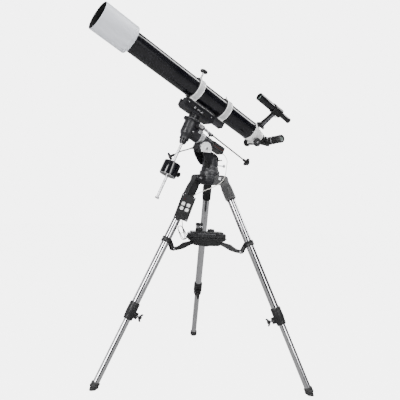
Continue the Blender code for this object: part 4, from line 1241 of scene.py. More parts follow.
class TELESCOPE_OT_polar(Build, bpy.types.Operator):
    """Makes the polar housing, its drive motor, lock knob and flexible slow-motion knob"""
    bl_idname = "telescope.polar"
    bl_label = "Polar axis"

    def make(self, size):
        eye = POLAR.inverted() @ point_of("latitude_tilt")
        barrel = lathe([(0, 0.0003), (0.0252, 0.0003), (0.0260, 0.0015), (0.0260, 0.0050),
                        (0.0248, 0.0060), (0.0248, 0.0085), (0.0262, 0.0095), (0.0262, 0.0150),
                        (0.0240, 0.0165), (0.0240, 0.0200), (0.0255, 0.0215), (0.0255, 0.0560),
                        (0.0245, 0.0590), (0.0220, 0.0627), (0, 0.0627)], "mount_paint", 96,
                       bands={1: "silver_casting", 2: "silver_casting", 3: "silver_casting",
                              4: "silver_casting", 5: "silver_casting", 6: "silver_casting"})
        shapes = [barrel.moved(ALONG_X)]
        web = arc(0.0182, 180, 360, 20, (eye.x, eye.z)) + [(0.0565, -0.016), (0.0565, -0.004),
                                                           (0.0130, -0.004), (0.0130, -0.018)]
        shapes.append(plate(web, -0.0262, 0.0262, "mount_paint"))
        for i in range(5):
            shapes.append(slab((0.024 + 0.0065 * i, 0, -0.0245 - 0.001 * i), (0.0022, 0.040, 0.006),
                               "mount_gloss"))
        shapes.append(slab((0.0107, 0, -0.038), (0.020, 0.046, 0.026), "mount_gloss"))
        shapes.append(slab((0.0107, -0.0245, -0.038), (0.014, 0.0045, 0.018), "silver_casting"))
        shapes.append(bolt((0.0107, -0.0265, -0.038), MINUS_Y, 0.0048, 0.0030, "steel"))
        shapes.append(slab((0.0107, 0.0240, -0.038), (0.018, 0.003, 0.024), "silver_casting"))
        start = Vector((0.003, 0.0240, -0.048))
        route = smooth_route([start + Vector(step) for step in (
            (0, 0, 0), (0, 0.012, -0.001), (-0.004, 0.030, -0.008), (-0.018, 0.058, -0.024),
            (-0.030, 0.078, -0.045))], 0.0012)
        ridge = 0.0030 + 0.0003 * np.cos(np.arange(len(route)) * math.pi)
        shapes.append(swept(route, ridge, "moulded_grey", 20))
        shapes.append(rod(start - Vector((0, 0.004, 0)), start + Vector((0, 0.006, -0.0003)), 0.0048,
                          "steel", 24))
        piece("polar_housing_casting", shapes, POLAR, "polar",
              ["polar_housing"], bevel=0.0008)
        self.motor()
        self.knobs(route)

    def motor(self):
        low, high = span("ra_motor", POLAR)
        middle, extent = (low + high) / 2, high - low
        place = POLAR @ Matrix.Translation(middle)
        x, y, z = extent / 2
        shapes = [prism(rounded(2 * x, 2 * y - 0.001, 0.005), -z, z - 0.004, "gloss_plastic")]
        shapes.append(slab((0, 0, z - 0.0025), (2 * x, 0.020, 0.005), "moulded_black"))
        for i in range(3):
            shapes.append(slab((0.004, -y + 0.0004, z - 0.013 - 0.0075 * i), (2 * x - 0.014, 0.0012, 0.0022),
                               ("moulded_grey", "cable_red", "moulded_grey")[i]))
        shapes.append(slab((x - 0.0005, 0, -0.002), (0.0016, 2 * y - 0.014, 0.018), "moulded_grey"))
        for hand in (-1, 1):
            shapes.append(bolt((-x + 0.010, hand * (y - 0.008), z - 0.004), (0, 0, 1), 0.0030, 0.0016,
                               "steel"))
            shapes.append(bolt((x - 0.008, hand * (y - 0.008), z - 0.004), (0, 0, 1), 0.0030, 0.0016,
                               "steel"))
        shapes.append(rod((x - 0.010, -y * 0.4, -z + 0.006), (x + 0.0, -y * 0.4, -z + 0.006), 0.0030,
                          "moulded_black", 20))
        wire = smooth_route([(x - 0.001, -0.004, z - 0.010), (x + 0.004, -0.005, z - 0.015),
                             (x + 0.0055, -0.008, -0.006), (x - 0.001, -0.0095, -z + 0.006)], 0.001)
        shapes.append(swept(wire, 0.0007, "cable_red", 8))
        piece("ra_motor_case", shapes, place, "polar", ["ra_motor"], bevel=0.0012)

    def knobs(self, route):
        place = knob_place("ra_lock_turn")
        low, high = span("ra_lock_knob", place)
        piece("ra_lock_knob_moulding", mushroom(low.z, high.z, 0.0135, 0.004, high.z - low.z - 0.006,
                                                "gloss_plastic", 9), place, "ra_lock_knob",
              ["ra_lock_knob"], bevel=0.0005)
        place = knob_place("ra_slow_turn")
        low, high = span("ra_slow_motion_knob", place)
        shapes = [disc(0.0060, low.z, 0.018, "moulded_black", 32, soft=0.001),
                  lobed_wheel(high.z - 0.0095, high.z, 0.0200, "gloss_plastic")]
        piece("ra_slow_knob_moulding", shapes, place, "ra_slow_knob",
              ["ra_slow_motion_knob"], bevel=0.0008)


class TELESCOPE_OT_declination(Build, bpy.types.Operator):
    """Makes the declination head, the weight on its shaft and the long slow-motion rod"""
    bl_idname = "telescope.declination"
    bl_label = "Declination axis"

    def make(self, size):
        neck = [(0, 0.0490), (0.0200, 0.0490), (0.0200, 0.0480), (0.0385, 0.0480), (0.0400, 0.0470),
                (0.0400, 0.0425), (0.0385, 0.0410), (0.0315, 0.0405), (0.0315, 0.0380)]
        side = [(0.0290, 0.0370), (0.0290, 0.0040), (0.0278, 0.0030), (0.0278, 0.0010),
                (0.0288, 0.0), (0.0282, -0.0220), (0.0262, -0.0250), (0.0222, -0.0290),
                (0.0214, -0.0330), (0.0206, -0.0340), (0.0206, -0.0360), (0.0214, -0.0370),
                (0.0210, -0.0460), (0.0172, -0.0475)]
        barrel = lathe(neck + side + [(0.0172, -0.0475), (0, -0.0475)], "mount_paint", 96)
        cap = lathe([(0, -0.0470), (0.0165, -0.0470), (0.0165, -0.0560), (0.0130, -0.0655),
                     (0, -0.0655)], "mount_gloss", 12)
        cross = lathe([(0, 0.0), (0.0290, 0.0), (0.0290, 0.0480), (0.0300, 0.0490), (0.0300, 0.0550),
                       (0.0290, 0.0560), (0.0290, 0.0590), (0.0300, 0.0600), (0.0300, 0.0660),
                       (0.0290, 0.0668), (0, 0.0668)], "mount_paint", 96,
                      bands={4: "silver_casting", 5: "silver_casting", 6: "silver_casting",
                             7: "silver_casting"}).moved(ALONG_X)
        shapes = [barrel, cap, cross]
        for i in range(9):
            a = math.radians(150 + 26 * i)
            shapes.append(slab((0.0286 * math.cos(a), 0.0286 * math.sin(a), 0.008),
                               (0.0022, 0.0042, 0.052), "mount_gloss", math.degrees(a)))
        shapes.append(slab((0.026, -0.0355, 0.030), (0.036, 0.024, 0.020), "mount_gloss"))
        shapes.append(slab((0.026, -0.0480, 0.030), (0.026, 0.0024, 0.014), "silver_casting"))
        for x in (0.016, 0.036):
            shapes.append(bolt((x, -0.0490, 0.030), MINUS_Y, 0.0032, 0.0020, "steel"))
        shapes.append(slab((0.0440, -0.0290, 0.018), (0.016, 0.012, 0.024), "silver_casting", 20))
        shapes.append(bolt((0.012, -0.0285, -0.004), MINUS_Y, 0.0042, 0.0030, "steel"))
        for i in range(40):
            a = TAU * i / 40
            long = i % 5 == 0
            mark = slab((0, 0, 0.0447), (0.0007, 0.0005, 0.0040 if long else 0.0024), "band_grey",
                        0)
            mark = mark.moved(Matrix.Rotation(a, 4, "Z") @ Matrix.Translation((0.0400, 0, 0)))
            shapes.append(mark)
        piece("dec_housing_casting", shapes, HOUR, "dec_head",
              ["dec_housing"], bevel=0.0006)
        self.shaft(size)
        self.slow_motion()

    def shaft(self, size):
        low, high = span("weight_shaft", HOUR)
        bar = lathe([(0, low.z + 0.004), (0.0060, low.z + 0.004), (0.0060, high.z), (0, high.z)],
                    "chrome", 64)
        stop = lathe([(0, low.z), (0.0086, low.z), (0.0095, low.z + 0.001), (0.0095, low.z + 0.007),
                      (0.0086, low.z + 0.008), (0, low.z + 0.008)], "steel", 64,
                     lobes=(24, 0.0004, 0.009))
        piece("weight_shaft_chrome", [bar, stop], HOUR, "dec_head", ["weight_shaft"],
              bevel=0.0003)
        low, high = span("counterweight", HOUR)
        r, hole, top, base = size.weight_radius, 0.0064, high.z, low.z
        weight = lathe([(hole, top - 0.0015), (0.0150, top - 0.0015), (0.0160, top), (r - 0.006, top),
                        (r - 0.0015, top - 0.0016), (r, top - 0.006), (r, base + 0.0085),
                        (r - 0.0006, base + 0.008), (r - 0.0006, base + 0.0065), (r, base + 0.006),
                        (r, base + 0.0022), (r - 0.0022, base), (hole, base)],
                       "tube_enamel", 128, loop=True, bands={10: "silver_casting"})
        piece("counterweight_iron", [weight], HOUR, "counterweight",
              ["counterweight"], bevel=0)
        place = knob_place("counterweight_knob_turn")
        low, high = span("counterweight_knob", place)
        piece("counterweight_knob_moulding",
              mushroom(low.z, high.z, 0.0125, 0.004, high.z - low.z - 0.0062, "gloss_plastic", 7),
              place, "counterweight_knob", ["counterweight_knob"], bevel=0.0005)

    def slow_motion(self):
        place = knob_place("dec_slow_turn")
        low, high = span("dec_slow_motion", place)
        end = high.z - 0.009
        joint = [(0, 0), (0.0056, 0), (0.0062, 0.001), (0.0062, 0.016), (0.0048, 0.018)]
        joint += [(0.0048, 0.0220), (0.0058, 0.0230), (0.0058, 0.0330), (0.0040, 0.0350),
                  (0.0040, 0.0450), (0, 0.0450)]
        shapes = [lathe(joint, "steel", 48, bands={0: "chrome", 1: "chrome", 2: "chrome"}),
                  disc(0.0034, 0.0440, end - 0.010, "gloss_plastic", 32),
                  lathe([(0, end - 0.021), (0.0050, end - 0.021), (0.0062, end - 0.019),
                         (0.0062, end + 0.001), (0, end + 0.001)], "gloss_plastic", 40),
                  lobed_wheel(end, high.z, 0.0205, "gloss_plastic")]
        for i in range(4):
            a = math.pi / 2 * i
            shapes.append(bolt((0.0060 * math.cos(a), 0.0060 * math.sin(a), 0.008 + 0.004 * (i % 2)),
                               (math.cos(a), math.sin(a), 0), 0.0018, 0.0008, "steel"))
        piece("dec_slow_motion_rod", shapes, place, "dec_slow_motion",
              ["dec_slow_motion"], bevel=0.0006)


class TELESCOPE_OT_saddle(Build, bpy.types.Operator):
    """Makes the saddle, its clamp knobs and the ribbed bar that it holds"""
    bl_idname = "telescope.saddle"
    bl_label = "Saddle and bar"

    def make(self, size):
        low, high = span("saddle", HOUR)
        floor, base = 0.091, 0.070
        half = (high.x - low.x) / 2
        middle = (high.x + low.x) / 2
        seat = [(-half, floor), (-half, base + 0.008), (-half + 0.010, base), (-0.024, base),
                (0.024, base), (half - 0.010, base), (half, base + 0.008), (half, floor)]
        shapes = [plate(seat, -0.0262, 0.0262, "mount_paint")]
        for hand in (-1, 1):
            jaw = [(-half, base + 0.009), (half, base + 0.009), (half, 0.108), (-half, 0.108)]
            shapes.append(plate(jaw, *sorted((hand * 0.0196, hand * 0.0288)), "mount_gloss"))
        shapes.append(slab((0, -0.0291, base + 0.0195), (0.100, 0.0010, 0.010), "inner_black"))
        shapes.append(lathe([(0, 0.0493), (0.0225, 0.0493), (0.0240, 0.0505), (0.0240, 0.0545),
                             (0.0228, 0.0555), (0.0228, 0.0580), (0.0240, 0.0590), (0.0240, 0.0635),
                             (0.0228, 0.0645), (0.0228, 0.0670), (0.0240, 0.0680), (0.0240, 0.0715),
                             (0, 0.0715)], "mount_gloss", 96))
        for x in (-0.030, 0.012):
            shapes.append(bolt((x, -0.0288, base + 0.0195), MINUS_Y, 0.0050, 0.0034, "steel"))
        for x in (-0.066, 0.064):
            shapes.append(bolt((x, -0.0288, 0.098), MINUS_Y, 0.0030, 0.0016, "steel"))
        shapes.append(slab((-0.008, -0.0300, base + 0.0200), (0.016, 0.003, 0.0042), "silver_casting"))
        shapes = [shape.moved(Matrix.Translation((middle, 0, 0))) for shape in shapes]
        piece("saddle_casting", shapes, HOUR, "saddle", ["saddle"],
              bevel=0.0009)
        place = knob_place("saddle_knob_turn")
        low, high = span("saddle_knob", place)
        piece("saddle_knob_moulding", mushroom(low.z, high.z, 0.0125, 0.0035, high.z - low.z - 0.006,
                                               "gloss_plastic", 8), place, "saddle_knob",
              ["saddle_knob"], bevel=0.0005)
        self.bar()

    def bar(self):
        low, high = span("dovetail_bar", HOUR)
        half, y = (high.x - low.x) / 2, (high.y - low.y) / 2
        place = HOUR @ Matrix.Translation(((low.x + high.x) / 2, 0, 0))
        section = [(-y + 0.0035, low.z), (y - 0.0035, low.z), (y, low.z + 0.008), (y, low.z + 0.0125)]
        for i in range(6):
            step = low.z + 0.0125 + 0.0018 * i
            section += [(y - 0.0007, step + 0.0002), (y - 0.0007, step + 0.0009), (y, step + 0.0011),
                        (y, step + 0.0017)]
        section += [(y, high.z - 0.0007), (y - 0.0007, high.z)]
        section += [(-u, v) for u, v in section[:1:-1]]
        section = [point for i, point in enumerate(section) if point not in section[:i]]
        turn = Matrix(((0, 0, 1, 0), (1, 0, 0, 0), (0, 1, 0, 0), (0, 0, 0, 1)))
        shapes = [prism(section, -half, half, "bar_aluminium").moved(turn)]
        shapes.append(bolt((half - 0.007, 0, low.z + 0.001), (0, 0, -1), 0.0045, 0.0060, "gloss_plastic"))
        shapes.append(bolt((-half + 0.007, 0, low.z + 0.001), (0, 0, -1), 0.0035, 0.0030, "steel"))
        for x in (-0.0836, 0.0836):
            shapes.append(bolt((x, 0, low.z + 0.001), (0, 0, -1), 0.0045, 0.0024, "steel", 6))
        piece("dovetail_bar_extrusion", shapes, place, "tube", ["dovetail_bar"],
              bevel=0.0002)


# ----------------------------------------------------------------- the optics
class TELESCOPE_OT_rings(Build, bpy.types.Operator):
    """Makes the two hinged tube rings with their felt, clamp bolts and top knob"""
    bl_idname = "telescope.rings"
    bl_label = "Tube rings"

    def make(self, size):
        for name in ("front", "rear"):
            low, high = span(f"ring_{name}", TUBE)
            self.ring(size, name, (low.z + high.z) / 2, low.x)
        place = knob_place("ring_knob_turn")
        low, high = span("ring_knob", place)
        head = mushroom(high.z - 0.012, high.z, 0.0175, 0.006, 0.0105, "gloss_plastic", 12)
        stem = lathe([(0, low.z), (0.0048, low.z), (0.0040, low.z + 0.004), (0.0038, high.z - 0.013),
                      (0.0055, high.z - 0.010), (0, high.z - 0.010)], "steel", 40)
        piece("ring_knob_moulding", head + [stem], place, "ring_knob",
              ["ring_knob"], bevel=0.0005)

    def ring(self, size, name, middle, foot):
        r, half, felt = size.ring_radius, 0.015, size.tube_radius + 0.0002
        place = TUBE @ Matrix.Translation((0, 0, middle))
        band = lathe([(felt + 0.0012, -half), (r - 0.0008, -half), (r, -half + 0.0008),
                      (r, -half + 0.0030), (r - 0.0010, -half + 0.0040), (r - 0.0010, half - 0.0055),
                      (r, half - 0.0045), (r, half - 0.0008), (r - 0.0008, half),
                      (felt + 0.0012, half)], "white_enamel", 160, loop=True,
                     bands={4: "band_grey"})
        liner = pipe(felt + 0.0013, felt, -half - 0.0005, half + 0.0022, "felt_black", steps=96)
        flare = lathe([(felt, half + 0.0002), (r - 0.0012, half + 0.0002), (r - 0.0002, half + 0.0018),
                       (r - 0.0016, half + 0.0026), (felt, half + 0.0026)], "felt_black", 96, loop=True)
        shapes = [band, liner, flare]
        shapes.append(slab((foot + 0.0070, 0, 0), (0.0138, 0.034, 0.0285), "white_enamel"))
        lean = math.radians(28)
        arm = Matrix.Rotation(lean, 4, "Z") @ Matrix.Translation((r + 0.0035, 0, 0))
        for hand in (-1, 1):
            shapes.append(slab((0, hand * 0.0040, 0), (0.0150, 0.0058, 0.0230), "white_enamel").moved(arm))
        shapes.append(rod((0.0005, -0.0075, 0), (0.0005, 0.0085, 0), 0.0026, "chrome", 24).moved(arm))
        shapes.append(mushroom(0, 0.0080, 0.0062, 0.0030, 0.0062, "chrome", 12)[0].moved(
            arm @ toward((0.0005, 0.0068, 0), (0.0005, 1, 0))))
        hinge = Matrix.Translation((0, r + 0.0026, 0))
        for start, end in ((-0.0140, -0.0050), (-0.0045, 0.0045), (0.0050, 0.0140)):
            shapes.append(disc(0.0048, start, end, "white_enamel", 32).moved(hinge))
        shapes.append(disc(0.0020, -0.0146, 0.0146, "steel", 20).moved(hinge))
        shapes.append(slab((0.0, r - 0.0004, 0), (0.012, 0.0030, 0.0280), "white_enamel"))
        along = Matrix.Rotation(math.pi / 2, 4, "Y")
        if name == "front":
            shapes.append(lathe([(0, 0), (0.0098, 0), (0.0090, 0.0030), (0.0086, 0.0085),
                                 (0.0060, 0.0098), (0, 0.0098)], "white_enamel", 48).moved(
                Matrix.Translation((r - 0.0030, 0, 0)) @ along))
        else:
            clip = [(r - 0.0005, 0, 0.004), (r + 0.0040, 0, 0.006), (r + 0.0085, 0, 0.0075),
                    (r + 0.0120, 0, 0.0120)]
            shapes.append(swept(smooth_route(clip, 0.001), 0.0020, "gloss_plastic", 12))
        piece(f"ring_{name}_casting", shapes, place, "tube", [f"ring_{name}"],
              bevel=0.0004)


class TELESCOPE_OT_tube(Build, bpy.types.Operator):
    """Makes the enamelled tube, the grey dew hood and the coated lens in its cell"""
    bl_idname = "telescope.tube"
    bl_label = "Tube, hood and lens"

    def make(self, size):
        low, high = span("main_tube", TUBE)
        r = size.tube_radius
        shell = pipe(r, r - size.tube_wall, low.z, high.z, "tube_enamel", "inner_black", 192)
        shapes = [shell]
        for hand in (-1, 1):
            shapes.append(bolt((-0.3 * r, hand * 0.9539 * r, low.z + 0.0065),
                               (-0.3, hand * 0.9539, 0), 0.0030, 0.0010, "steel"))
        piece("main_tube_enamel", shapes, TUBE, "tube", ["main_tube"],
              bevel=0)
        low, high = span("dew_shield", TUBE)
        outer, base, end = size.hood_radius, low.z, high.z
        hood = lathe([(outer, end - 0.0010), (outer - 0.0008, end), (outer - 0.0022, end),
                      (outer - 0.0022, base + 0.026), (r + 0.0004, base + 0.026), (r + 0.0004, base),
                      (outer - 0.0040, base), (outer - 0.0010, base + 0.0012), (outer, base + 0.0035),
                      (outer, base + 0.0160), (outer - 0.0005, base + 0.0164),
                      (outer - 0.0005, base + 0.0172), (outer, base + 0.0176)], "hood_satin", 192,
                     loop=True, bands={2: "inner_black", 3: "inner_black", 4: "inner_black"})
        piece("dew_shield_satin", [hood], TUBE, "tube", ["dew_shield"], bevel=0)
        place = axes(Vector(sum(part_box("objective_lens"), Vector()) / 2), TUBE.to_3x3().col[2],
                     TUBE.to_3x3().col[0])
        low, high = span("objective_lens", place)
        rim = r - size.tube_wall - 0.0004
        bowl = [(rim * t, high.z - 0.0042 * t * t) for t in np.linspace(0, 0.93, 14)]
        back = [(rim * t, low.z + 0.0015 * t * t) for t in np.linspace(0.93, 0, 14)]
        glass = lathe(bowl + back, "lens_glass", 96)
        cell = lathe([(rim * 0.93, low.z), (rim, low.z), (rim, high.z - 0.001),
                      (rim * 0.95, high.z), (rim * 0.92, high.z - 0.0030)], "inner_black", 96,
                     loop=True)
        piece("objective_lens_glass", [glass, cell], place, "tube",
              ["objective_lens"], bevel=0)


class TELESCOPE_OT_focuser(Build, bpy.types.Operator):
    """Makes the focuser, its rack-driven draw tube and the pair of knobs"""
    bl_idname = "telescope.focuser"
    bl_label = "Focuser"

    def make(self, size):
        low, high = span("focuser_body", TUBE)
        base, top = low.z, high.z
        bore = 0.0218
        body = lathe([(bore, top - 0.019), (0.0400, top - 0.016), (0.0400, top), (0.0445, top),
                      (0.0460, top - 0.0014), (0.0460, top - 0.0070), (0.0452, top - 0.0078),
                      (0.0452, top - 0.0092), (0.0460, top - 0.0100), (0.0460, top - 0.0210),
                      (0.0450, top - 0.0235), (0.0325, top - 0.0398), (0.0312, top - 0.0425),
                      (0.0278, base + 0.0035), (0.0275, base + 0.0010), (0.0265, base),
                      (bore, base)], "white_enamel", 160, loop=True)
        drop = (TUBE.inverted() @ point_of("focus_turn"))
        shapes = [body]
        case = rounded(0.0480, 0.0235, 0.005)
        turn = Matrix(((0, 0, 1, 0), (1, 0, 0, 0), (0, 1, 0, 0), (0, 0, 0, 1)))
        shapes.append(prism(case, drop.x - 0.0085, drop.x + 0.0130, "white_enamel").moved(
            Matrix.Translation((0, 0, drop.z)) @ turn))
        shapes.append(slab((drop.x - 0.0090, 0, drop.z), (0.0014, 0.030, 0.017), "gloss_plastic"))
        for y in (-0.011, 0.011):
            shapes.append(bolt((drop.x - 0.0095, y, drop.z), (-1, 0, 0), 0.0026, 0.0014, "steel"))
        for a in (1.0, 2.4, 3.9, 5.3):
            shapes.append(bolt((0.0458 * math.cos(a), 0.0458 * math.sin(a), top - 0.0150),
                               (math.cos(a), math.sin(a), 0), 0.0028, 0.0012, "steel"))
        shapes.append(bolt((0.0280, 0.0, base + 0.0120), (1, 0, 0.35), 0.0044, 0.0075, "steel"))
        piece("focuser_casting", shapes, TUBE, "tube", ["focuser_body"],
              bevel=0.0007)
        low, high = span("draw_tube", TUBE)
        draw = lathe([(0.0215, high.z), (0.0215, low.z + 0.0096), (0.0236, low.z + 0.0090),
                      (0.0245, low.z + 0.0080), (0.0245, low.z + 0.0012), (0.0236, low.z),
                      (0.0172, low.z), (0.0160, low.z + 0.0010), (0.0160, low.z + 0.0136),
                      (0.0195, low.z + 0.0156), (0.0195, high.z)], "chrome", 128, loop=True,
                     bands={1: "gloss_plastic", 2: "gloss_plastic", 3: "gloss_plastic",
                            4: "gloss_plastic", 5: "gloss_plastic", 6: "inner_black",
                            7: "inner_black", 8: "inner_black", 9: "inner_black"})
        shapes = [draw, slab((-0.0235, 0, (low.z + high.z) / 2 + 0.002), (0.0046, 0.0078, 0.108),
                             "steel")]
        for i in range(52):
            shapes.append(slab((-0.0266, 0, (low.z + high.z) / 2 - 0.0495 + 0.0020 * i),
                               (0.0018, 0.0074, 0.0010), "steel"))
        piece("draw_tube_chrome", shapes, TUBE, "draw_tube", ["draw_tube"], bevel=0.0003)
        self.knobs()

    def knobs(self):
        place = axes(point_of("focus_turn"), axis_of("focus_turn"), TUBE.to_3x3().col[0])
        shapes = [disc(0.0034, -0.0405, 0.0405, "steel", 32)]
        shapes.append(lathe([(0, -0.0045), (0.0066, -0.0045), (0.0066, 0.0045), (0, 0.0045)],
                            "steel", 112, lobes=(14, 0.0014, 0.0050)))
        for flip in (Matrix(), Matrix.Rotation(math.pi, 4, "X")):
            knob = lathe([(0, 0.0288), (0.0120, 0.0288), (0.0125, 0.0298), (0.0182, 0.0300),
                          (0.0195, 0.0312), (0.0195, 0.0405), (0.0184, 0.0420), (0.0150, 0.0420),
                          (0.0143, 0.0410), (0.0118, 0.0410), (0.0110, 0.0418), (0.0080, 0.0418),
                          (0.0070, 0.0406), (0.0050, 0.0406), (0.0040, 0.0424), (0, 0.0424)],
                         "moulded_black", 192, lobes=(48, 0.0006, 0.0185),
                         bands={8: "moulded_grey", 12: "moulded_grey", 13: "steel", 14: "steel"})
            shapes.append(knob.moved(flip))
        piece("focus_knobs_moulding", shapes, place, "focus_knobs",
              ["focus_knobs"], bevel=0.0003)


class TELESCOPE_OT_eyepiece(Build, bpy.types.Operator):
    """Makes the right-angle mirror box and the eyepiece in it"""
    bl_idname = "telescope.eyepiece"
    bl_label = "Diagonal and eyepiece"

    def make(self, size):
        low, high = span("star_diagonal", STAR)
        side = Matrix(((0, 0, 1, 0), (1, 0, 0, 0), (0, 1, 0, 0), (0, 0, 0, 1)))
        corner = [(0.0190, 0.0205), (-0.0195, 0.0205), (-0.0195, -0.0185), (-0.0140, -0.0210),
                  (0.0210, 0.0130)]
        body = prism(corner, -0.0155, 0.0155, "gloss_plastic").moved(side)
        shapes = [body]
        for hand in (-1, 1):
            cheek = [(y * 0.97, z * 0.97) for y, z in corner]
            shapes.append(prism(cheek, *sorted((hand * 0.0152, hand * 0.0170)),
                                "moulded_black").moved(side))
            for y, z in ((-0.0155, 0.0165), (-0.0155, -0.0150), (0.0150, 0.0165)):
                shapes.append(bolt((hand * 0.0168, y, z), (hand, 0, 0), 0.0020, 0.0010, "steel"))
        face = prism([(-0.0165, -0.0175), (0.0165, -0.0175), (0.0165, 0.0175), (-0.0165, 0.0175)],
                     0, 0.0016, "moulded_black")
        tilt = Vector((0, 0.0035 + 0.0010, -0.0045)), Vector((0, 0.7193, -0.6947))
        shapes.append(face.moved(toward(tilt[0], tilt[0] + tilt[1])))
        top = high.z
        shapes.append(lathe([(0, 0.0190), (0.0200, 0.0190), (0.0200, 0.0280), (0.0190, 0.0300),
                             (0.0155, 0.0302), (0.0155, top), (0.0130, top), (0.0130, 0.0195),
                             (0, 0.0195)], "moulded_black", 96,
                            bands={4: "chrome", 5: "chrome", 6: "inner_black"}))
        out = toward((0, 0, 0), (0, -1, 0))
        shapes.append(lathe([(0.0160, 0.0180), (0.0195, 0.0180), (0.0195, 0.0300), (0.0188, 0.0308),
                             (0.0188, 0.0330), (0.0195, 0.0338), (0.0195, 0.0400),
                             (0.0188, 0.0410), (0.0160, 0.0410)], "moulded_black", 96,
                            loop=True).moved(out))
        shapes.append(bolt((0.0, -0.0350, 0.0190), (0, 0, 1), 0.0034, 0.0060, "steel"))
        piece("star_diagonal_moulding", shapes, STAR, "star_diagonal",
              ["star_diagonal"], bevel=0.0008)
        low, high = span("eyepiece", STAR)
        end = -low.y
        eye = lathe([(0, 0.0205), (0.0155, 0.0205), (0.0155, 0.0412), (0.0185, 0.0414),
                     (0.0185, 0.0520), (0.0196, 0.0536), (0.0200, 0.0545), (0.0200, 0.0578),
                     (0.0182, 0.0600), (0.0182, 0.0620), (0.0186, 0.0625), (0.0186, 0.0880),
                     (0.0182, 0.0885), (0.0182, 0.0905), (0.0194, 0.0935), (0.0194, end - 0.0060),
                     (0.0180, end - 0.0008), (0.0170, end), (0.0118, end), (0.0096, end - 0.0022),
                     (0, end - 0.0030)], "moulded_black", 216, lobes=(54, 0.0007, 0.0184),
                    bands={0: "inner_black", 1: "chrome", 2: "chrome", 3: "gloss_plastic",
                           5: "chrome", 6: "chrome", 14: "boot_rubber", 15: "boot_rubber",
                           16: "boot_rubber", 17: "boot_rubber", 19: "lens_glass"})
        piece("eyepiece_moulding", [eye.moved(out)], STAR, "eyepiece",
              ["eyepiece"], bevel=0.0002)


class TELESCOPE_OT_finder(Build, bpy.types.Operator):
    """Makes the sighting telescope, its ring and the stem on its dovetail foot"""
    bl_idname = "telescope.finder"
    bl_label = "Finder"

    def make(self, size):
        low, high = span("finder_bracket", FINDER)
        middle = (low.z + high.z) / 2
        seat = low.x
        shapes = [slab((seat + 0.0035, 0, middle), (0.0070, 0.026, 0.038), "moulded_black"),
                  slab((seat + 0.0085, 0, middle), (0.0050, 0.018, 0.034), "gloss_plastic")]
        stem = [(0.0150, seat + 0.008), (0.0120, seat + 0.018), (0.0100, -0.040), (0.0115, -0.0205),
                (-0.0115, -0.0205), (-0.0100, -0.040), (-0.0120, seat + 0.018), (-0.0150, seat + 0.008)]
        shapes.append(plate([(x, z) for z, x in stem], -0.0062, 0.0062, "gloss_plastic").moved(
            Matrix.Translation((0, 0, middle))))
        inner = [(x, z * 0.55) for z, x in stem]
        for hand in (-1, 1):
            shapes.append(plate(inner, *sorted((hand * 0.0060, hand * 0.0074)), "moulded_grey").moved(
                Matrix.Translation((0, 0, middle))))
        shapes.append(lathe([(0.0160, middle - 0.0270), (0.0205, middle - 0.0270),
                             (0.0215, middle - 0.0260), (0.0215, middle - 0.0180),
                             (0.0206, middle - 0.0170), (0.0206, middle + 0.0170),
                             (0.0215, middle + 0.0180), (0.0215, middle + 0.0260),
                             (0.0205, middle + 0.0270), (0.0160, middle + 0.0270)],
                            "gloss_plastic", 112, loop=True))
        for turn in (60, 180, 300):
            for z in (middle - 0.0205, middle + 0.0205):
                a = math.radians(turn)
                out = Vector((math.cos(a), math.sin(a), 0))
                start = Vector((0, 0, z)) + out * 0.0205
                if turn == 180 and z > middle:
                    continue
                shapes.append(rod(start - out * 0.0047, start + out * 0.0042, 0.0014, "steel", 16))
                shapes += [shape.moved(toward(start + out * 0.0030, start + out)) for shape in
                           mushroom(0, 0.0052, 0.0036, 0.0016, 0.0040, "gloss_plastic", 8)]
        foot = Vector((seat + 0.0050, 0.0120, middle))
        shapes.append(rod(foot, foot + Vector((0, 0.0080, 0)), 0.0018, "steel", 16))
        shapes += [shape.moved(toward(foot + Vector((0, 0.0060, 0)), foot + Vector((0, 1, 0))))
                   for shape in mushroom(0, 0.0068, 0.0050, 0.0020, 0.0055, "gloss_plastic", 8)]
        piece("finder_bracket_moulding", shapes, FINDER, "tube",
              ["finder_bracket"], bevel=0.0006)
        low, high = span("finder_scope", FINDER)
        end = high.z
        scope = lathe([(0, 0.0040), (0.0080, 0.0040), (0.0092, 0), (0.0122, 0), (0.0130, 0.0012),
                       (0.0130, 0.0075), (0.0122, 0.0085), (0.0122, middle - 0.0340),
                       (0.0140, middle - 0.0315), (0.0154, middle - 0.0300), (0.0154, middle + 0.0285),
                       (0.0165, middle + 0.0295), (0.0180, middle + 0.0320), (0.0180, end - 0.0240),
                       (0.0176, end - 0.0235), (0.0176, end - 0.0225), (0.0180, end - 0.0220),
                       (0.0180, end - 0.0010), (0.0172, end), (0.0164, end), (0.0160, end - 0.0120),
                       (0.0100, end - 0.0105), (0, end - 0.0100)], "tube_enamel", 128,
                      bands={0: "lens_glass", 1: "boot_rubber", 2: "boot_rubber", 3: "boot_rubber",
                             4: "boot_rubber", 5: "boot_rubber", 19: "inner_black",
                             20: "lens_glass", 21: "lens_glass"})
        piece("finder_scope_enamel", [scope], FINDER, "tube",
              ["finder_scope"], bevel=0)


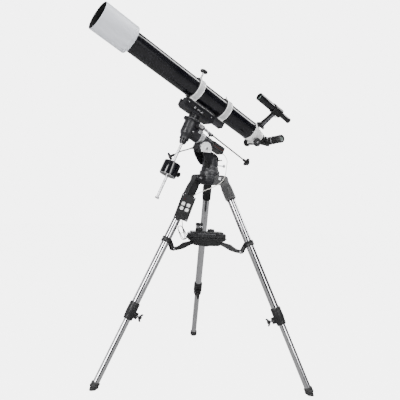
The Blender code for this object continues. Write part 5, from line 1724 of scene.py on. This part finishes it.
# ----------------------------------------------------------------- controller
class TELESCOPE_OT_controller(Build, bpy.types.Operator):
    """Makes the hand control with its four white keys, lamp and corner screws"""
    bl_idname = "telescope.controller"
    bl_label = "Hand control"

    def make(self, size):
        width, tall = (CASE_HIGH.x - CASE_LOW.x) / 2, (CASE_HIGH.z - CASE_LOW.z) / 2
        inverse = CONTROL.inverted()
        keys = [inverse @ key for key in KEYS]
        wells = [0.0071, 0.0072]
        shapes = self.case(width, tall, keys)
        for x in (-1, 1):
            for z in (-1, 1):
                shapes.append(bolt((x * (width - 0.0058), 0.0002, z * (tall - 0.0058)), MINUS_Y,
                                   0.0026, 0.0009, "steel"))
        lamp_at = Vector((-width + 0.018, 0.0004, tall - 0.0195))
        shapes.append(lathe([(0, 0), (0.0026, 0), (0.0026, 0.0006), (0.0018, 0.0016), (0, 0.0020)],
                            "lamp_red", 24).moved(toward(lamp_at, lamp_at + MINUS_Y)))
        for i, reach in enumerate((0.040, 0.046, 0.046, 0.040)):
            shapes.append(slab((0, 0.0001, -tall + 0.0150 + 0.0052 * i), (reach, 0.0012, 0.0016),
                               "gloss_plastic"))
        shapes.append(rod((0.004, 0.013, tall - 0.001), (0.004, 0.013, tall + 0.0045), 0.0032,
                          "moulded_black", 24))
        shapes.append(slab((0.004, 0.0310, 0.030), (0.018, 0.011, 0.022), "moulded_black"))
        piece("controller_case_moulding", shapes, CONTROL, "leg_left",
              ["controller_case"], bevel=0.0010)
        for i, key in enumerate(keys, 1):
            low, high = span(f"controller_button_{i}", CONTROL)
            half = (high - low) / 2
            cap = prism(rounded(2 * half.x, 2 * half.z, 0.0022), -half.y, half.y * 0.8,
                        "key_white")
            dome = prism(rounded(2 * half.x - 0.0016, 2 * half.z - 0.0016, 0.0018), half.y * 0.7,
                         half.y, "key_white")
            face = Matrix.Translation(key) @ Matrix.Rotation(math.pi / 2, 4, "X")
            piece(f"controller_key_{i}", [cap, dome], CONTROL @ face, f"controller_button_{i}",
                  [f"controller_button_{i}"], bevel=0.0004)

    def case(self, width, tall, keys):
        """The case around its four square wells, as bars and blocks that share their edges."""
        hole = 0.0072
        xs = sorted({round(key.x, 6) for key in keys})
        zs = sorted({round(key.z, 6) for key in keys})
        columns = [-width, xs[0] - hole, xs[0] + hole, xs[1] - hole, xs[1] + hole, width]
        rows = [-tall, zs[0] - hole, zs[0] + hole, zs[1] - hole, zs[1] + hole, tall]
        back = prism(rounded(2 * width, 2 * tall, 0.005), -0.026, -0.0046, "moulded_black")
        shapes = [back.moved(SIDE)]
        points, faces = [], []
        for depth in (0.0, 0.0048):
            for z in rows:
                points += [(x, depth, z) for x in columns]
        solid = np.ones((5, 5), bool)
        for i in (1, 3):
            for j in (1, 3):
                solid[i, j] = False
        for i in range(5):
            for j in range(5):
                if not solid[i, j]:
                    continue
                a, b = i * 6 + j, i * 6 + j + 1
                c, d = b + 6, a + 6
                faces += [(a, b, c, d), (a + 36, d + 36, c + 36, b + 36)]
                for (p, q), (y, x) in (((a, b), (i - 1, j)), ((b, c), (i, j + 1)),
                                       ((c, d), (i + 1, j)), ((d, a), (i, j - 1))):
                    if not (0 <= y < 5 and 0 <= x < 5 and solid[y, x]):
                        faces.append((p, p + 36, q + 36, q))
        return shapes + [Shape(points, faces, "moulded_black")]


STEPS = (
    TELESCOPE_OT_camera, TELESCOPE_OT_cords, TELESCOPE_OT_studio, TELESCOPE_OT_tripod_head,
    TELESCOPE_OT_legs, TELESCOPE_OT_spreader, TELESCOPE_OT_azimuth, TELESCOPE_OT_polar,
    TELESCOPE_OT_declination, TELESCOPE_OT_saddle, TELESCOPE_OT_rings, TELESCOPE_OT_tube,
    TELESCOPE_OT_focuser, TELESCOPE_OT_eyepiece, TELESCOPE_OT_finder, TELESCOPE_OT_controller,
)


class TELESCOPE_PT_panel(bpy.types.Panel):
    """The sizes, the colours and a button for each step"""
    bl_idname = "TELESCOPE_PT_panel"
    bl_label = "Telescope on Tripod"
    bl_space_type = "VIEW_3D"
    bl_region_type = "UI"
    bl_category = "Telescope"

    def draw(self, context):
        for group in (context.scene.telescope_sizes, context.scene.telescope_looks):
            box = self.layout.box()
            for name in type(group).__annotations__:
                box.prop(group, name)
        for step in STEPS:
            self.layout.operator(step.bl_idname)


CLASSES = (TelescopeSizes, TelescopeLooks, *STEPS, TELESCOPE_PT_panel)


def register():
    for cls in CLASSES:
        bpy.utils.register_class(cls)
    bpy.types.Scene.telescope_sizes = bpy.props.PointerProperty(type=TelescopeSizes)
    bpy.types.Scene.telescope_looks = bpy.props.PointerProperty(type=TelescopeLooks)


def unregister():
    del bpy.types.Scene.telescope_looks
    del bpy.types.Scene.telescope_sizes
    for cls in reversed(CLASSES):
        bpy.utils.unregister_class(cls)


def run_step(step):
    group, name = step.bl_idname.split(".")
    getattr(getattr(bpy.ops, group), name)()


def main():
    register()
    for step in STEPS:
        run_step(step)
    bpy.context.view_layer.update()


if __name__ == "__main__":
    main()
